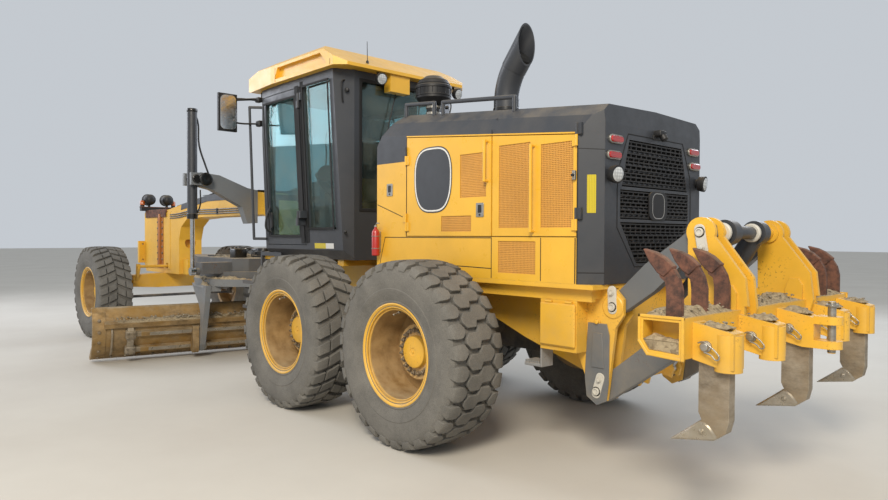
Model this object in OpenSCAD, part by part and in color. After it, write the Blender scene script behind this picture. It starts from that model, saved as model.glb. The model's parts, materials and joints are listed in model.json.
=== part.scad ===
// Articulated motor grader with a rear ripper and scarifier, in millimetres.
// Stations are measured along X from the tandem pivot, forward, with Z up from the ground.

/* [Layout] */
// Distance from the tandem pivot to the front axle
wheelbase = 6200; // [5900:10:6400]
// Distance between the two tandem axles
tandem_spacing = 1540; // [1500:10:1600]
// Distance from the centre line to each wheel's middle
wheel_y = 1040; // [1020:5:1080]
// Station of the articulation pivot
hitch_x = 500; // [470:5:530]
// Foremost point of the nose
nose_front_x = 7050; // [7000:10:7150]
// Rearmost point, the tip of the tow clevis
tow_rear_x = -3160; // [-3250:10:-3120]

/* [Tyres and rims] */
// Radius over the lugs
tyre_r = 650; // [630:5:665]
// Width over the sidewalls
tyre_w = 445; // [425:5:455]
// Lug rows round one tyre
lug_rows = 22; // [18:1:22]
// Depth of the tread
lug_depth = 30; // [15:1:40]
// Radius of the rim's flanges
flange_r = 356; // [345:1:365]
// Radius of the rim's barrel under the tyre's beads
barrel_r = 320; // [310:1:330]
// Width over the rim's flanges
rim_w = 400; // [380:5:410]
// Radius of the hub that the disc is bolted to
hub_r = 150; // [130:5:165]

/* [Rear frame] */
// Top of the deck that carries the hood
deck_z = 1168; // [1160:1:1180]
// Thickness of the deck plate
deck_t = 30; // [20:1:40]
// Underside of the two frame rails
rail_bottom_z = 850; // [840:1:880]
// Distance from the centre line to the middle of a rail
rail_y = 310; // [300:5:330]
// Width of one rail
rail_w = 100; // [80:5:120]
// Station of the frame's rear end
frame_rear_x = -1960; // [-1980:5:-1940]
// Half width of the deck and of its side sills
sill_y = 640; // [620:5:650]
// Height of the rear axle housing
rear_axle_z = 700; // [690:1:705]
// Radius of the rear axle housing
rear_axle_r = 140; // [120:5:145]
// Half height of the tandem cases
tandem_half_z = 190; // [170:5:200]
// Inner side of the tandem cases
tandem_in_y = 540; // [530:5:560]
// Outer side of the tandem cases
tandem_out_y = 790; // [770:5:800]

/* [Hood] */
// Half width of the hood
hood_y = 700; // [680:5:710]
// Station of the hood's front face
hood_front_x = 130; // [110:5:150]
// Station of the hood's rear face
hood_rear_x = -2020; // [-2040:5:-2000]
// Height of the hood's top edge at its front
hood_top_z = 2355; // [2330:5:2380]
// Slope of the hood's top, down to the rear
hood_slope = 5; // [4:0.5:6]
// Thickness of the hood's walls
hood_t = 40; // [30:1:50]
// Lower seam of the engine doors
door_seam_z = 1458; // [1440:1:1480]
// Front seam of the front engine doors
seam_front_x = -250; // [-270:5:-230]
// Seam between the front and the rear engine doors
seam_mid_x = -1170; // [-1200:5:-1150]
// Rear seam of the rear engine doors
seam_rear_x = -1890; // [-1910:5:-1870]
// Gap round each door
door_gap = 6; // [4:1:10]

/* [Cab] */
// Station of the cab's rear wall
cab_rear_x = 680; // [670:5:700]
// Station of the cab's front wall
cab_front_x = 2150; // [2130:5:2180]
// Half width of the cab at its sill
cab_sill_y = 630; // [610:5:640]
// Half width of the cab under its roof
cab_top_y = 720; // [700:5:735]
// Underside of the cab's floor
cab_floor_z = 1240; // [1235:1:1260]
// Height of the cab's sills
cab_sill_z = 1330; // [1320:5:1345]
// Height of the cab's walls, where the roof starts
cab_wall_z = 2960; // [2900:5:3000]
// Thickness of the cab's walls and doors
cab_t = 50; // [40:1:60]
// Height of the roof cap
roof_h = 230; // [200:5:260]
// Thickness of the window glass
glass_t = 6; // [5:1:10]

/* [Front frame] */
// Half width of the box beam
beam_y = 170; // [150:5:180]
// Underside of the beam at its arch
beam_bottom_z = 1715; // [1705:5:1740]
// Top of the beam at its arch
beam_top_z = 2010; // [1980:5:2040]
// Half width of the nose
nose_y = 175; // [170:5:190]
// Underside of the nose
nose_bottom_z = 890; // [885:5:900]
// Rear face of the nose
nose_rear_x = 5600; // [5590:5:5620]
// Height of the nose's top
nose_top_z = 1850; // [1830:5:1880]

// Radius of the push block's bolt holes
push_hole_r = 13; // [11:0.5:15]
// Distance between the push block's bolt holes, across
push_hole_dy = 400; // [380:10:420]
// Distance between the push block's bolt holes, up
push_hole_dz = 250; // [220:10:260]

/* [Front axle] */
// Distance from the centre line to each kingpin
kingpin_y = 780; // [775:1:785]
// Radius of the kingpins
kingpin_r = 32; // [28:1:36]
// Length of the steering arms
steer_arm = 230; // [210:5:250]

/* [Drawbar, circle and blade] */
// Station of the drawbar's ball
ball_x = 5480; // [5470:5:5490]
// Height of the drawbar's ball
ball_z = 1000; // [980:5:1020]
// Radius of the drawbar's ball
ball_r = 70; // [60:1:75]
// Station of the circle's centre
circle_x = 3500; // [3480:5:3520]
// Radius over the circle
circle_r = 762; // [740:1:780]
// Radial width of the circle
circle_band = 130; // [110:5:150]
// Underside of the circle
circle_z = 870; // [865:1:880]
// Height of the circle
circle_h = 85; // [75:1:90]
// Turn of the circle, with the blade's left end forward
circle_turn = 10; // [0:1:12]
// Length of the moldboard with its end bits
blade_len = 3720; // [3600:10:3760]
// Height of the moldboard along its chord, with its edge
blade_h = 650; // [620:5:680]
// Lowest point of the cutting edge above the ground
blade_z = 30; // [20:5:60]
// Forward distance from the circle's centre to the cutting edge
blade_x = 260; // [230:5:280]
// Lean of the moldboard, back from its edge
blade_lean = 22; // [10:1:30]
// Side shift of the moldboard as it is parked
blade_shift = 23.8; // [0:0.1:60]
// Radius of the moldboard's curve
blade_curve_r = 413; // [400:1:430]
// Thickness of the moldboard
blade_t = 22; // [18:1:28]
// Distance from the centre line to the cheek arms' middle
cheek_y = 720; // [700:5:730]
// Distance from the centre line to the lift cylinders
lift_y = 950; // [940:5:960]
// Station of the lift cylinders
lift_x = 3260; // [3250:5:3270]
// Height of the lift cylinders' trunnions
lift_trunnion_z = 2100; // [2080:5:2120]
// Radius of the lift cylinders' barrels
lift_barrel_r = 55; // [45:1:60]
// Radius of the lift cylinders' rods
lift_rod_r = 24; // [20:1:28]

/* [Ripper] */
// Station of the upper links' frame pins
link_top_x = -2040; // [-2050:5:-2030]
// Height of the upper links' frame pins
link_top_z = 1030; // [1020:5:1040]
// Station of the lower links' frame pins
link_low_x = -1930; // [-1940:5:-1925]
// Height of the lower links' frame pins
link_low_z = 490; // [480:5:500]
// Rearward run of each link, from pin to pin
link_run = 560; // [550:5:570]
// Rise of each link, from pin to pin
link_rise = 460; // [450:5:470]
// Distance from the centre line to the links
link_y = 465; // [460:1:470]
// Width of the links
link_w = 70; // [60:1:74]
// Radius of the link pins
link_pin_r = 30; // [26:1:34]
// Half length of the ripper beam
ripper_half_y = 1150; // [1130:5:1170]
// Front of the ripper beam
ripper_front_x = -2600; // [-2610:5:-2595]
// Depth of the ripper beam, front to back
ripper_beam_d = 230; // [220:5:240]
// Underside of the ripper beam
ripper_z = 890; // [880:5:900]
// Height of the ripper beam
ripper_h = 185; // [175:5:195]
// Spacing of the shank holders
shank_pitch = 500; // [480:5:510]
// Distance from the centre line to the ripper cylinders
ripper_cyl_y = 200; // [190:5:210]

/* [Hidden] */
$fn = 48;

seat_gap = 0.3;
eps = 1;
x_mid = (nose_front_x + tow_rear_x) / 2;

yellow = [0.93, 0.69, 0.13];
charcoal = [0.17, 0.17, 0.18];
arm_grey = [0.5, 0.51, 0.52];
tyre_grey = [0.3, 0.3, 0.3];
worn_steel = [0.52, 0.45, 0.35];
rust = [0.4, 0.24, 0.19];
bright = [0.8, 0.81, 0.83];
glass_blue = [0.35, 0.55, 0.58, 0.5];

module placed() translate([-x_mid, 0, 0]) children();
module both_sides() {
    children();
    mirror([0, 1, 0]) children();
}
// A block from its low and high limits on each axis
module block(x, y, z) translate([x[0], y[0], z[0]]) cube([x[1] - x[0], y[1] - y[0], z[1] - z[0]]);
// An outline of X and Z, carried across from y0 to y1
module side_plate(outline, y0, y1)
    translate([0, y1, 0]) rotate([90, 0, 0]) linear_extrude(y1 - y0) polygon(outline);
// An outline of Y and Z, carried along from x0 to x1
module cross_plate(outline, x0, x1)
    translate([x0, 0, 0]) rotate([90, 0, 90]) linear_extrude(x1 - x0) polygon(outline);
module bar_x(x0, x1, y, z, r) translate([x0, y, z]) rotate([0, 90, 0]) cylinder(r = r, h = x1 - x0);
module bar_y(x, y0, y1, z, r) translate([x, y1, z]) rotate([90, 0, 0]) cylinder(r = r, h = y1 - y0);
module bar_z(x, y, z0, z1, r) translate([x, y, z0]) cylinder(r = r, h = z1 - z0);
// A round bar from point a to point b
module bar(a, b, r) {
    d = b - a;
    translate(a)
        rotate([0, atan2(norm([d[0], d[1]]), d[2]), atan2(d[1], d[0])])
            cylinder(r = r, h = norm(d));
}
// A bent tube through its points, with round elbows
module tube(points, r) {
    for (i = [0 : len(points) - 2]) bar(points[i], points[i + 1], r);
    for (i = [1 : len(points) - 2]) translate(points[i]) sphere(r = r * 1.01);
}

// Wheels, made round Z with their outer side up, then laid on their axles
lug_points = 3;
tyre_steps = lug_rows * lug_points;
tyre_step = 360 / tyre_steps;
wheel_z = tyre_r * cos(tyre_step / 2);
bore_r = (barrel_r + seat_gap) / cos(tyre_step / 2);
flange_t = 12;
bead_y = rim_w / 2 - flange_t - seat_gap;
crown_drop = 10;
shoulder_r = tyre_r - 145;
// Side of the tyre's bead at radius r, and the rim's flange in front of it
function bead_at(r) = bead_y + (r - bore_r) * (tyre_w / 2 - bead_y) / (shoulder_r - bore_r);
// Rings of the tyre: [side, radius, depth of the grooves, lead of the lugs in steps]
tyre_rings = [
    [-bead_y, bore_r, 0, 0],
    [-tyre_w / 2, shoulder_r, 0, 0],
    [-tyre_w / 2 + 22, tyre_r - crown_drop, lug_depth + 8, 0],
    [0, tyre_r, lug_depth, 1.5],
    [tyre_w / 2 - 22, tyre_r - crown_drop, lug_depth + 8, 0],
    [tyre_w / 2, shoulder_r, 0, 0],
    [bead_y, bore_r, 0, 0]
];
function tyre_point(ring, i) =
    let (
        groove = i % lug_points == lug_points - 1 ? ring[2] : 0,
        angle = -90 + (i - 0.5 + ring[3] - 1.5) * tyre_step
    )
    [(ring[1] - groove) * cos(angle), (ring[1] - groove) * sin(angle), ring[0]];
module tyre() {
    rings = len(tyre_rings);
    points = [for (ring = tyre_rings) for (i = [0 : tyre_steps - 1]) tyre_point(ring, i)];
    faces = [
        for (j = [0 : rings - 1]) for (i = [0 : tyre_steps - 1])
            let (
                a = j * tyre_steps + i,
                b = j * tyre_steps + (i + 1) % tyre_steps,
                c = (j + 1) % rings * tyre_steps + i,
                d = (j + 1) % rings * tyre_steps + (i + 1) % tyre_steps
            )
            each [[a, d, b], [a, c, d]]
    ];
    color(tyre_grey) polyhedron(points, faces);
}
// A rim with its disc at disc_z, its hub from hub_z and its cap up to cap_z
module rim(disc_z, hub_z, cap_z) {
    barrel_in = barrel_r - 18;
    half = rim_w / 2;
    disc_t = 18;
    cap_r = hub_r * 0.62;
    tip = bead_at(flange_r) + seat_gap;
    color(yellow) rotate_extrude() polygon([
        [0, hub_z], [hub_r, hub_z], [hub_r, disc_z], [barrel_in, disc_z - 30], [barrel_in, -half],
        [flange_r, -half], [flange_r, -tip], [barrel_r, -half + flange_t],
        [barrel_r, half - flange_t], [flange_r, tip], [flange_r, half],
        [flange_r - 14, half], [barrel_in + 4, half - 38], [barrel_in, disc_z + disc_t - 30],
        [hub_r + 35, disc_z + disc_t], [hub_r, disc_z + disc_t + 22], [cap_r + 14, disc_z + disc_t + 22],
        [cap_r, cap_z - 14], [cap_r - 16, cap_z], [0, cap_z]
    ]);
}
module on_axle(x, side) mirror([0, side < 0 ? 1 : 0, 0])
    translate([x, wheel_y, wheel_z]) rotate([-90, 0, 0]) children();

rear_disc_z = -80;
rear_cap_z = 20;
housing_end_y = 850;
rear_hub_z = housing_end_y + seat_gap - wheel_y;
front_disc_z = -20;
front_cap_z = 60;
spindle_end_y = 920;
front_hub_z = spindle_end_y + seat_gap - wheel_y;
module rear_rim(x, side) placed() on_axle(x, side) rim(rear_disc_z, rear_hub_z, rear_cap_z);
module front_rim(side) placed() on_axle(wheelbase, side) rim(front_disc_z, front_hub_z, front_cap_z);
module wheel_tyre(x, side) placed() on_axle(x, side) tyre();

// Rear frame: two rails, a deck with side sills, the hitch and the ripper's mount
hitch_r = 120;
hitch_pin_r = 45;
hitch_low_z = [740, 790];
hitch_high_z = [1040, 1090];
rail_front_x = 330;
deck_bottom_z = deck_z - deck_t;
sill_drop = 110;
mount_back_x = link_top_x - 75;
ripper_eye_x = link_low_x - 90;
ear_in_y = [link_y - link_w / 2 - 30, link_y - link_w / 2 - 5];
ear_out_y = [link_y + link_w / 2 + 5, link_y + link_w / 2 + 30];
module link_ear(y) {
    difference() {
        side_plate([
            [frame_rear_x + 240, deck_bottom_z], [link_top_x - 20, deck_bottom_z],
            [mount_back_x, link_top_z + 50], [mount_back_x, link_top_z - 50],
            [link_top_x - 20, link_top_z - 130], [link_low_x - 85, link_low_z + 60],
            [link_low_x - 70, link_low_z - 50], [link_low_x, link_low_z - 85],
            [link_low_x + 75, link_low_z - 40], [link_low_x + 90, link_low_z + 80],
            [frame_rear_x + 240, rail_bottom_z]
        ], y[0], y[1]);
        for (pin = [[link_top_x, link_top_z], [link_low_x, link_low_z]])
            bar_y(pin[0], y[0] - eps, y[1] + eps, pin[1], link_pin_r + seat_gap);
    }
}
module rear_frame() placed() color(yellow) difference() {
    union() {
        both_sides() {
            side_plate([
                [frame_rear_x, deck_bottom_z], [rail_front_x, deck_bottom_z], [rail_front_x, rail_bottom_z],
                [-900, rail_bottom_z], [-1180, 740], [-1820, 530], [frame_rear_x, 530]
            ], rail_y - rail_w / 2, rail_y + rail_w / 2);
            block([-200, 200], [rail_y - rail_w / 2, rail_y + rail_w / 2], [rear_axle_z, rail_bottom_z]);
            block([frame_rear_x, hood_front_x - 30], [sill_y - 40, sill_y], [deck_z - sill_drop, deck_bottom_z]);
            link_ear(ear_in_y);
            link_ear(ear_out_y);
        }
        block([hood_rear_x + 10, hood_front_x], [-hood_y, hood_y], [deck_bottom_z, deck_z]);
        block([frame_rear_x, frame_rear_x + 60], [-rail_y - rail_w / 2, rail_y + rail_w / 2],
            [link_low_z + 20, deck_bottom_z]);
        block([frame_rear_x, frame_rear_x + 200], [-sill_y, sill_y], [deck_bottom_z - 60, deck_bottom_z]);
        block([rail_front_x - 60, rail_front_x], [-rail_y - rail_w / 2, rail_y + rail_w / 2],
            [hitch_low_z[0], deck_bottom_z]);
        for (z = [hitch_low_z, hitch_high_z]) {
            block([rail_front_x - eps, hitch_x], [-hitch_r + 2, hitch_r - 2], z);
            bar_z(hitch_x, 0, z[0], z[1], hitch_r);
        }
        bar_z(hitch_x, 0, hitch_low_z[0] - 20, hitch_high_z[1] + 20, hitch_pin_r);
    }
    bar_y(0, -rail_y - rail_w, rail_y + rail_w, rear_axle_z, rear_axle_r + seat_gap);
}
// Lugs for the ripper cylinders' rods
module ripper_lugs() placed() color(yellow) both_sides()
    for (y = [ripper_cyl_y - 62, ripper_cyl_y + 38]) side_plate([
        [frame_rear_x, 640], [frame_rear_x, 530], [ripper_eye_x - 45, 505],
        [ripper_eye_x - 60, 560], [ripper_eye_x - 30, 620]
    ], y, y + 24);
module rear_axle() placed() color(charcoal) {
    bar_y(0, -tandem_in_y + seat_gap, tandem_in_y - seat_gap, rear_axle_z, rear_axle_r);
    bar_y(0, -rail_y + rail_w / 2 + 40, rail_y - rail_w / 2 - 40, rear_axle_z, rear_axle_r + 85);
    both_sides() bar_y(0, rail_y + rail_w / 2 + 50, tandem_in_y - seat_gap, rear_axle_z, rear_axle_r + 60);
}
module tandem_cases() placed() color(charcoal) both_sides() {
    half_x = tandem_spacing / 2;
    end_r = tandem_half_z + 16;
    block([-half_x, half_x], [tandem_in_y, tandem_out_y],
        [wheel_z - tandem_half_z, wheel_z + tandem_half_z]);
    for (x = [-half_x, half_x]) {
        bar_y(x, tandem_in_y, tandem_out_y, wheel_z, end_r);
        bar_y(x, tandem_out_y - eps, housing_end_y, wheel_z, hub_r);
    }
    block([-260, 260], [tandem_in_y, tandem_out_y - 30], [wheel_z, rear_axle_z + 190]);
}

// Hood: its outline is the crossing of a side view, a plan and a sloping cross-section
crown_h = 90;
door_top_z = hood_top_z - 120;
slope_x = -300;
function hood_line(x, z) = z + (x - slope_x) * tan(hood_slope);
module hood_form(t) intersection() {
    side_plate([
        [hood_front_x - t, deck_z - (t > 0 ? 10 : 0)], [hood_front_x - t, door_top_z - 40],
        [hood_front_x - 190 - t / 2, hood_top_z + crown_h - t], [hood_rear_x + 20 + t, hood_top_z + crown_h - t],
        [hood_rear_x + t, hood_line(hood_rear_x, hood_top_z) - 40], [hood_rear_x + t, deck_z - (t > 0 ? 10 : 0)]
    ], -hood_y + t, hood_y - t);
    linear_extrude(hood_top_z + crown_h + 100) polygon([
        [hood_front_x, -hood_y], [hood_front_x, hood_y], [seam_rear_x, hood_y],
        [hood_rear_x + t, hood_y - 100 - t / 2], [hood_rear_x + t, -hood_y + 100 + t / 2], [seam_rear_x, -hood_y]
    ]);
    translate([slope_x, 0, hood_top_z]) rotate([0, -hood_slope, 0]) cross_plate([
        [-hood_y - 20, -hood_top_z], [-hood_y - 20, -110 - t], [-hood_y, -110 - t], [-hood_y + 55, -t],
        [-hood_y + 150, crown_h - 15 - t], [0, crown_h - t],
        [hood_y - 150, crown_h - 15 - t], [hood_y - 55, -t], [hood_y, -110 - t], [hood_y + 20, -110 - t],
        [hood_y + 20, -hood_top_z]
    ], hood_rear_x - slope_x - 400, hood_front_x - slope_x + 400);
}
// The outline of one engine door, drawn in by its gap, on the left side
module door_zone(x0, x1, gap, depth = 60) side_plate([
    [x0 + gap, door_seam_z + gap], [x1 - gap, door_seam_z + gap],
    [x1 - gap, hood_line(x1, door_top_z) - gap], [x0 + gap, hood_line(x0, door_top_z) - gap]
], hood_y - hood_t - depth, hood_y + 100);
lip_w = 25;
lip_t = 12;
// The lip that a door closes against
module door_lip(x0, x1) difference() {
    intersection() {
        door_zone(x0, x1, -lip_w, lip_t);
        block([x0 - lip_w, x1 + lip_w], [0, hood_y - hood_t + eps], [deck_z, hood_top_z]);
    }
    door_zone(x0, x1, lip_w);
}
hinge_off = 10;
hinge_len = 70;
// One half of a door's hinge on the hood: its leaf goes towards dir from the hinge line x
module hood_hinge(x, dir, z) {
    bar_z(x, hood_y + hinge_off, z, z + hinge_len, 9);
    block(dir > 0 ? [x + 4, x + 35] : [x - 35, x - 4], [hood_y - 12, hood_y + hinge_off], [z, z + hinge_len]);
}
panel_in = 10;
panel_t = 5;
// A window with a sheet of perforated steel in it: [x from, x to, z from, z to]
module window_cut(w) block([w[0], w[1]], [hood_y - hood_t - 70, hood_y + 70], [w[2], w[3]]);
module window_panel(w) block([w[0] - eps, w[1] + eps], [hood_y - panel_in - panel_t, hood_y - panel_in],
    [w[2] - eps, w[3] + eps]);
front_door_windows = [[-970, -655, 1497, 1610], [-1115, -855, 1740, 2050]];
rear_door_windows = [[-1513, -1236, 1520, 2080], [-1857, -1602, 1520, 2055]];
module engine_door(x0, x1, windows, handle, hinge_x, dir) color(yellow) {
    difference() {
        intersection() {
            difference() {
                hood_form(0);
                hood_form(hood_t);
            }
            door_zone(x0, x1, door_gap);
        }
        for (w = windows) window_cut(w);
    }
    for (w = windows) window_panel(w);
    bar_z(handle[0], hood_y + 35, handle[1], handle[2], 11);
    for (z = [handle[1] + 8, handle[2] - 8]) bar_y(handle[0], hood_y - 5, hood_y + 36, z, 10);
    for (z = hinge_z) hood_hinge(hinge_x, dir, z);
}
hinge_z = [1500, 2020];
front_hinge_x = seam_front_x - door_gap / 2;
rear_hinge_x = seam_rear_x + door_gap / 2;
module front_engine_door()
    engine_door(seam_mid_x, seam_front_x, front_door_windows, [-1130, 1840, 2130], front_hinge_x, -1);
module rear_engine_door()
    engine_door(seam_rear_x, seam_mid_x, rear_door_windows, [-1545, 1490, 2060], rear_hinge_x, 1);
low_window = [-1560, -1232, 1215, 1430];
// Rear grille: three openings one above another: [half width below, half width above, z from, z to]
grille_zones = [[240, 430, 1290, 1555], [430, 430, 1575, 1760], [415, 330, 1780, 2080]];
module grille_zone(g, x0, x1) cross_plate([[-g[0], g[2]], [g[0], g[2]], [g[1], g[3]], [-g[1], g[3]]], x0, x1);
grille_pitch = 40;
grille_bar = 11;
cap_drop = 110;
strip_x = seam_front_x;
strip_z = 2050;
// Where the hood is charcoal: the tail behind the doors, and the cap over the doors with a strip at the front
module tail_zone() block([hood_rear_x - 100, seam_rear_x], [-hood_y - 50, hood_y + 50], [0, hood_top_z + 300]);
module cap_zone() {
    cap_x = [hood_rear_x - 100, hood_front_x + 100];
    side_plate([
        [cap_x[0], hood_line(cap_x[0], hood_top_z - cap_drop)], [cap_x[1], hood_line(cap_x[1], hood_top_z - cap_drop)],
        [cap_x[1], hood_top_z + 300], [cap_x[0], hood_top_z + 300]
    ], -hood_y - 50, hood_y + 50);
    block([strip_x, cap_x[1]], [-hood_y - 60, hood_y + 60], [strip_z, hood_top_z + 200]);
}
module hood_shell() difference() {
    hood_form(0);
    hood_form(hood_t);
    both_sides() {
        door_zone(seam_mid_x, seam_front_x, 0);
        door_zone(seam_rear_x, seam_mid_x, 0);
        window_cut(low_window);
    }
    for (g = grille_zones) grille_zone(g, hood_rear_x - 50, hood_rear_x + hood_t + 50);
}
module hood_walls() {
    hood_shell();
    both_sides() difference() {
        union() {
            door_lip(seam_mid_x, seam_front_x);
            door_lip(seam_rear_x, seam_mid_x);
        }
        door_zone(seam_rear_x, seam_front_x, 0, seat_gap);
    }
}
module hood() placed() color(yellow) {
    difference() {
        hood_walls();
        tail_zone();
        cap_zone();
    }
    both_sides() {
        window_panel(low_window);
        hood_hinge(front_hinge_x, 1, hinge_z[0] + hinge_len + seat_gap);
    }
}
module hood_cap() placed() color(charcoal) {
    difference() {
        intersection() {
            hood_shell();
            cap_zone();
        }
        tail_zone();
    }
    both_sides() hood_hinge(front_hinge_x, 1, hinge_z[1] + hinge_len + seat_gap);
}
module hood_tail() placed() color(charcoal) {
    intersection() {
        hood_walls();
        tail_zone();
    }
    both_sides() for (z = hinge_z) hood_hinge(rear_hinge_x, -1, z + hinge_len + seat_gap);
    for (g = grille_zones) for (i = [1 : floor((g[3] - g[2]) / grille_pitch)]) {
        z = g[2] + (i - 0.5) * grille_pitch;
        half = g[0] + (g[1] - g[0]) * (z - g[2]) / (g[3] - g[2]) + 5;
        block([hood_rear_x + 10, hood_rear_x + 28], [-half, half], [z, z + grille_bar]);
    }
}
module engine() placed() color(charcoal)
    block([-1500, -300], [-350, 350], [deck_z, 1950]);
module on_hood() difference() {
    children();
    translate([0, 0, seat_gap]) hood_form(0);
}
stack_x = -672;
stack_r = 100;
stack_bend_z = 2552;
stack_bend_r = 450;
stack_lean = 37.8;
stack_mouth_x = -880;
module exhaust_stack() placed() color(charcoal) on_hood() difference() {
    centre = [stack_x - stack_bend_r, 0, stack_bend_z];
    lean = [-sin(stack_lean), 0, cos(stack_lean)];
    bend_end = centre + stack_bend_r * [cos(stack_lean), 0, sin(stack_lean)];
    union() {
        bar_z(stack_x, 0, 2300, stack_bend_z + 30, stack_r + 3);
        translate(centre) rotate([90, 0, 0]) rotate_extrude(angle = stack_lean)
            translate([stack_bend_r, 0]) circle(r = stack_r);
        bar(bend_end - lean * 30, bend_end + lean * 420, stack_r + 3);
    }
    bar(bend_end + lean * 20, bend_end + lean * 700, stack_r - 6);
    block([stack_mouth_x - 600, stack_mouth_x], [-300, 300], [2500, 3500]);
}
cleaner_x = -20;
cleaner_y = 210;
cleaner_r = 150;
module air_cleaner() placed() color(charcoal) on_hood() {
    neck_z = 2590;
    bar_z(cleaner_x, cleaner_y, 2200, neck_z, 60);
    translate([cleaner_x, cleaner_y, neck_z - eps]) rotate_extrude() polygon([
        [0, 0], [95, 0], [cleaner_r, 50], [cleaner_r, 150], [cleaner_r - 20, 195], [70, 240], [0, 250]
    ]);
}
module side_boxes() placed() color(yellow) both_sides() {
    z = [730, deck_z - sill_drop - seat_gap];
    block([-1850, -1710], [ear_out_y[1] + seat_gap, sill_y], z);
    block([frame_rear_x + 240 + seat_gap, -1560], [rail_y + rail_w / 2 + seat_gap, sill_y], z);
}
module hood_rails() placed() color(charcoal) on_hood() {
    rail_r = 16;
    rail_h = 70;
    both_sides() for (x = [[-420, -80], [-1250, -520]])
        tube([
            [x[0], 560, hood_line(x[0], hood_top_z) + 20], [x[0], 560, hood_line(x[0], hood_top_z) + crown_h + rail_h],
            [x[1], 560, hood_line(x[1], hood_top_z) + crown_h + rail_h], [x[1], 560, hood_line(x[1], hood_top_z) + 20]
        ], rail_r);
}
module rear_lamps() placed() color("red") both_sides() {
    for (lamp = [[415, 565, 2040], [435, 585, 1940]])
        block([hood_rear_x - 22, hood_rear_x - seat_gap], [lamp[0], lamp[1]], [lamp[2], lamp[2] + 55]);
    bar_x(hood_rear_x - 70, hood_rear_x - seat_gap, 545, 1850, 52);
}
module extinguisher() placed() color("red") {
    bar_z(60, hood_y + 75, 1300, 1560, 62);
    bar_z(60, hood_y + 75, 1560 - eps, 1610, 25);
    block([20, 100], [hood_y + seat_gap, hood_y + 30], [1340, 1500]);
}

// Front frame: a gooseneck beam between the hitch under the cab and the nose over the axle
frame_lug_z = [hitch_low_z[1] + 5, hitch_high_z[0] - 5];
under_cab_z = cab_floor_z - 60;
frame_start_x = hitch_x + hitch_r + 20;
push_t = 60;
nose_hole_z = 1350;
nose_hole_r = 80;
module front_frame() placed() color(yellow) {
    difference() {
        union() {
            side_plate([
                [frame_start_x, frame_lug_z[0]], [frame_start_x, frame_lug_z[1] + 40],
                [frame_start_x + 150, under_cab_z], [1950, under_cab_z], [cab_front_x + 40, 1330],
                [2950, beam_top_z - 60], [3300, beam_top_z], [4600, beam_top_z],
                [nose_rear_x - 100, nose_top_z + 60], [nose_rear_x + 400, nose_top_z],
                [nose_front_x - 110, nose_top_z], [nose_front_x - 60, nose_top_z - 40],
                [nose_front_x - 60, nose_bottom_z + 110], [nose_front_x - 130, nose_bottom_z],
                [nose_rear_x, nose_bottom_z], [nose_rear_x, beam_bottom_z - 320],
                [nose_rear_x - 80, beam_bottom_z - 130], [nose_rear_x - 280, beam_bottom_z - 20],
                [4800, beam_bottom_z], [3050, beam_bottom_z], [2180, 1150], [1950, 960], [1700, 850],
                [frame_start_x + 250, frame_lug_z[0] - 20]
            ], -beam_y, beam_y);
            block([hitch_x, frame_start_x + eps], [-hitch_r, hitch_r], frame_lug_z);
            bar_z(hitch_x, 0, frame_lug_z[0], frame_lug_z[1], hitch_r);
            both_sides() block([nose_rear_x + 330, nose_front_x - 160], [beam_y - eps, nose_y],
                [nose_bottom_z + 60, nose_top_z - 40]);
            block([900, 1000], [-cab_sill_y + 130, cab_sill_y - 130], [under_cab_z, cab_floor_z]);
            block([1850, 1950], [-cab_sill_y + 130, cab_sill_y - 130], [under_cab_z, cab_floor_z]);
        }
        bar_z(hitch_x, 0, frame_lug_z[0] - eps, frame_lug_z[1] + eps, hitch_pin_r + seat_gap);
        bar_x(nose_rear_x - eps, nose_rear_x + 120, 0, nose_hole_z, nose_hole_r);
        translate([ball_x, 0, ball_z]) sphere(r = ball_r + 30);
        bar_y(lean_bar_x, -nose_y - eps, nose_y + eps, lean_bar_z, lean_bar_r + 23);
        cab_form(-seat_gap);
    }
    difference() {
        both_sides() block([ball_x - 60, nose_rear_x + eps], [50, ball_r + 45], [nose_bottom_z, ball_z + 110]);
        translate([ball_x, 0, ball_z]) sphere(r = ball_r + seat_gap);
    }
    difference() {
        block([nose_front_x - push_t - eps, nose_front_x], [-260, 260], [nose_bottom_z + 130, nose_bottom_z + 480]);
        for (y = [-1, 1]) for (z = [-1, 1])
            bar_x(nose_front_x - 2 * push_t, nose_front_x + eps, y * push_hole_dy / 2,
                nose_bottom_z + 305 + z * push_hole_dz / 2, push_hole_r);
    }
}
axle_z = [700, 870];
axle_boss_z = [axle_z[0] - 5, axle_z[1] + 5];
lean_bar_x = wheelbase - 150;
lean_bar_z = 1000;
lean_bar_r = 22;
module front_axle() placed() color(yellow) {
    difference() {
        union() {
            cross_plate([
                [-kingpin_y + 130, axle_z[0]], [-300, axle_z[0] - 20], [300, axle_z[0] - 20],
                [kingpin_y - 130, axle_z[0]], [kingpin_y - 130, axle_z[1]], [260, nose_bottom_z],
                [-260, nose_bottom_z], [-kingpin_y + 130, axle_z[1]]
            ], wheelbase - 100, wheelbase + 100);
            both_sides() {
                block([wheelbase - 60, wheelbase + 60], [kingpin_y - 131, kingpin_y], axle_z);
                bar_z(wheelbase, kingpin_y, axle_boss_z[0], axle_boss_z[1], 75);
            }
        }
        both_sides() bar_z(wheelbase, kingpin_y, 0, 2000, kingpin_r + seat_gap);
    }
    bar_y(lean_bar_x, -620, 620, lean_bar_z, lean_bar_r);
    both_sides() side_plate([
        [wheelbase - 99, 780], [wheelbase - 99, 868], [lean_bar_x + 35, lean_bar_z + 38],
        [lean_bar_x - 35, lean_bar_z + 38], [lean_bar_x - 35, lean_bar_z - 35]
    ], 575, 615);
}
arm_z = [600, 640];
arm_pin_r = 26;
knuckle_r = 80;
web_y = kingpin_y + 82;
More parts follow.
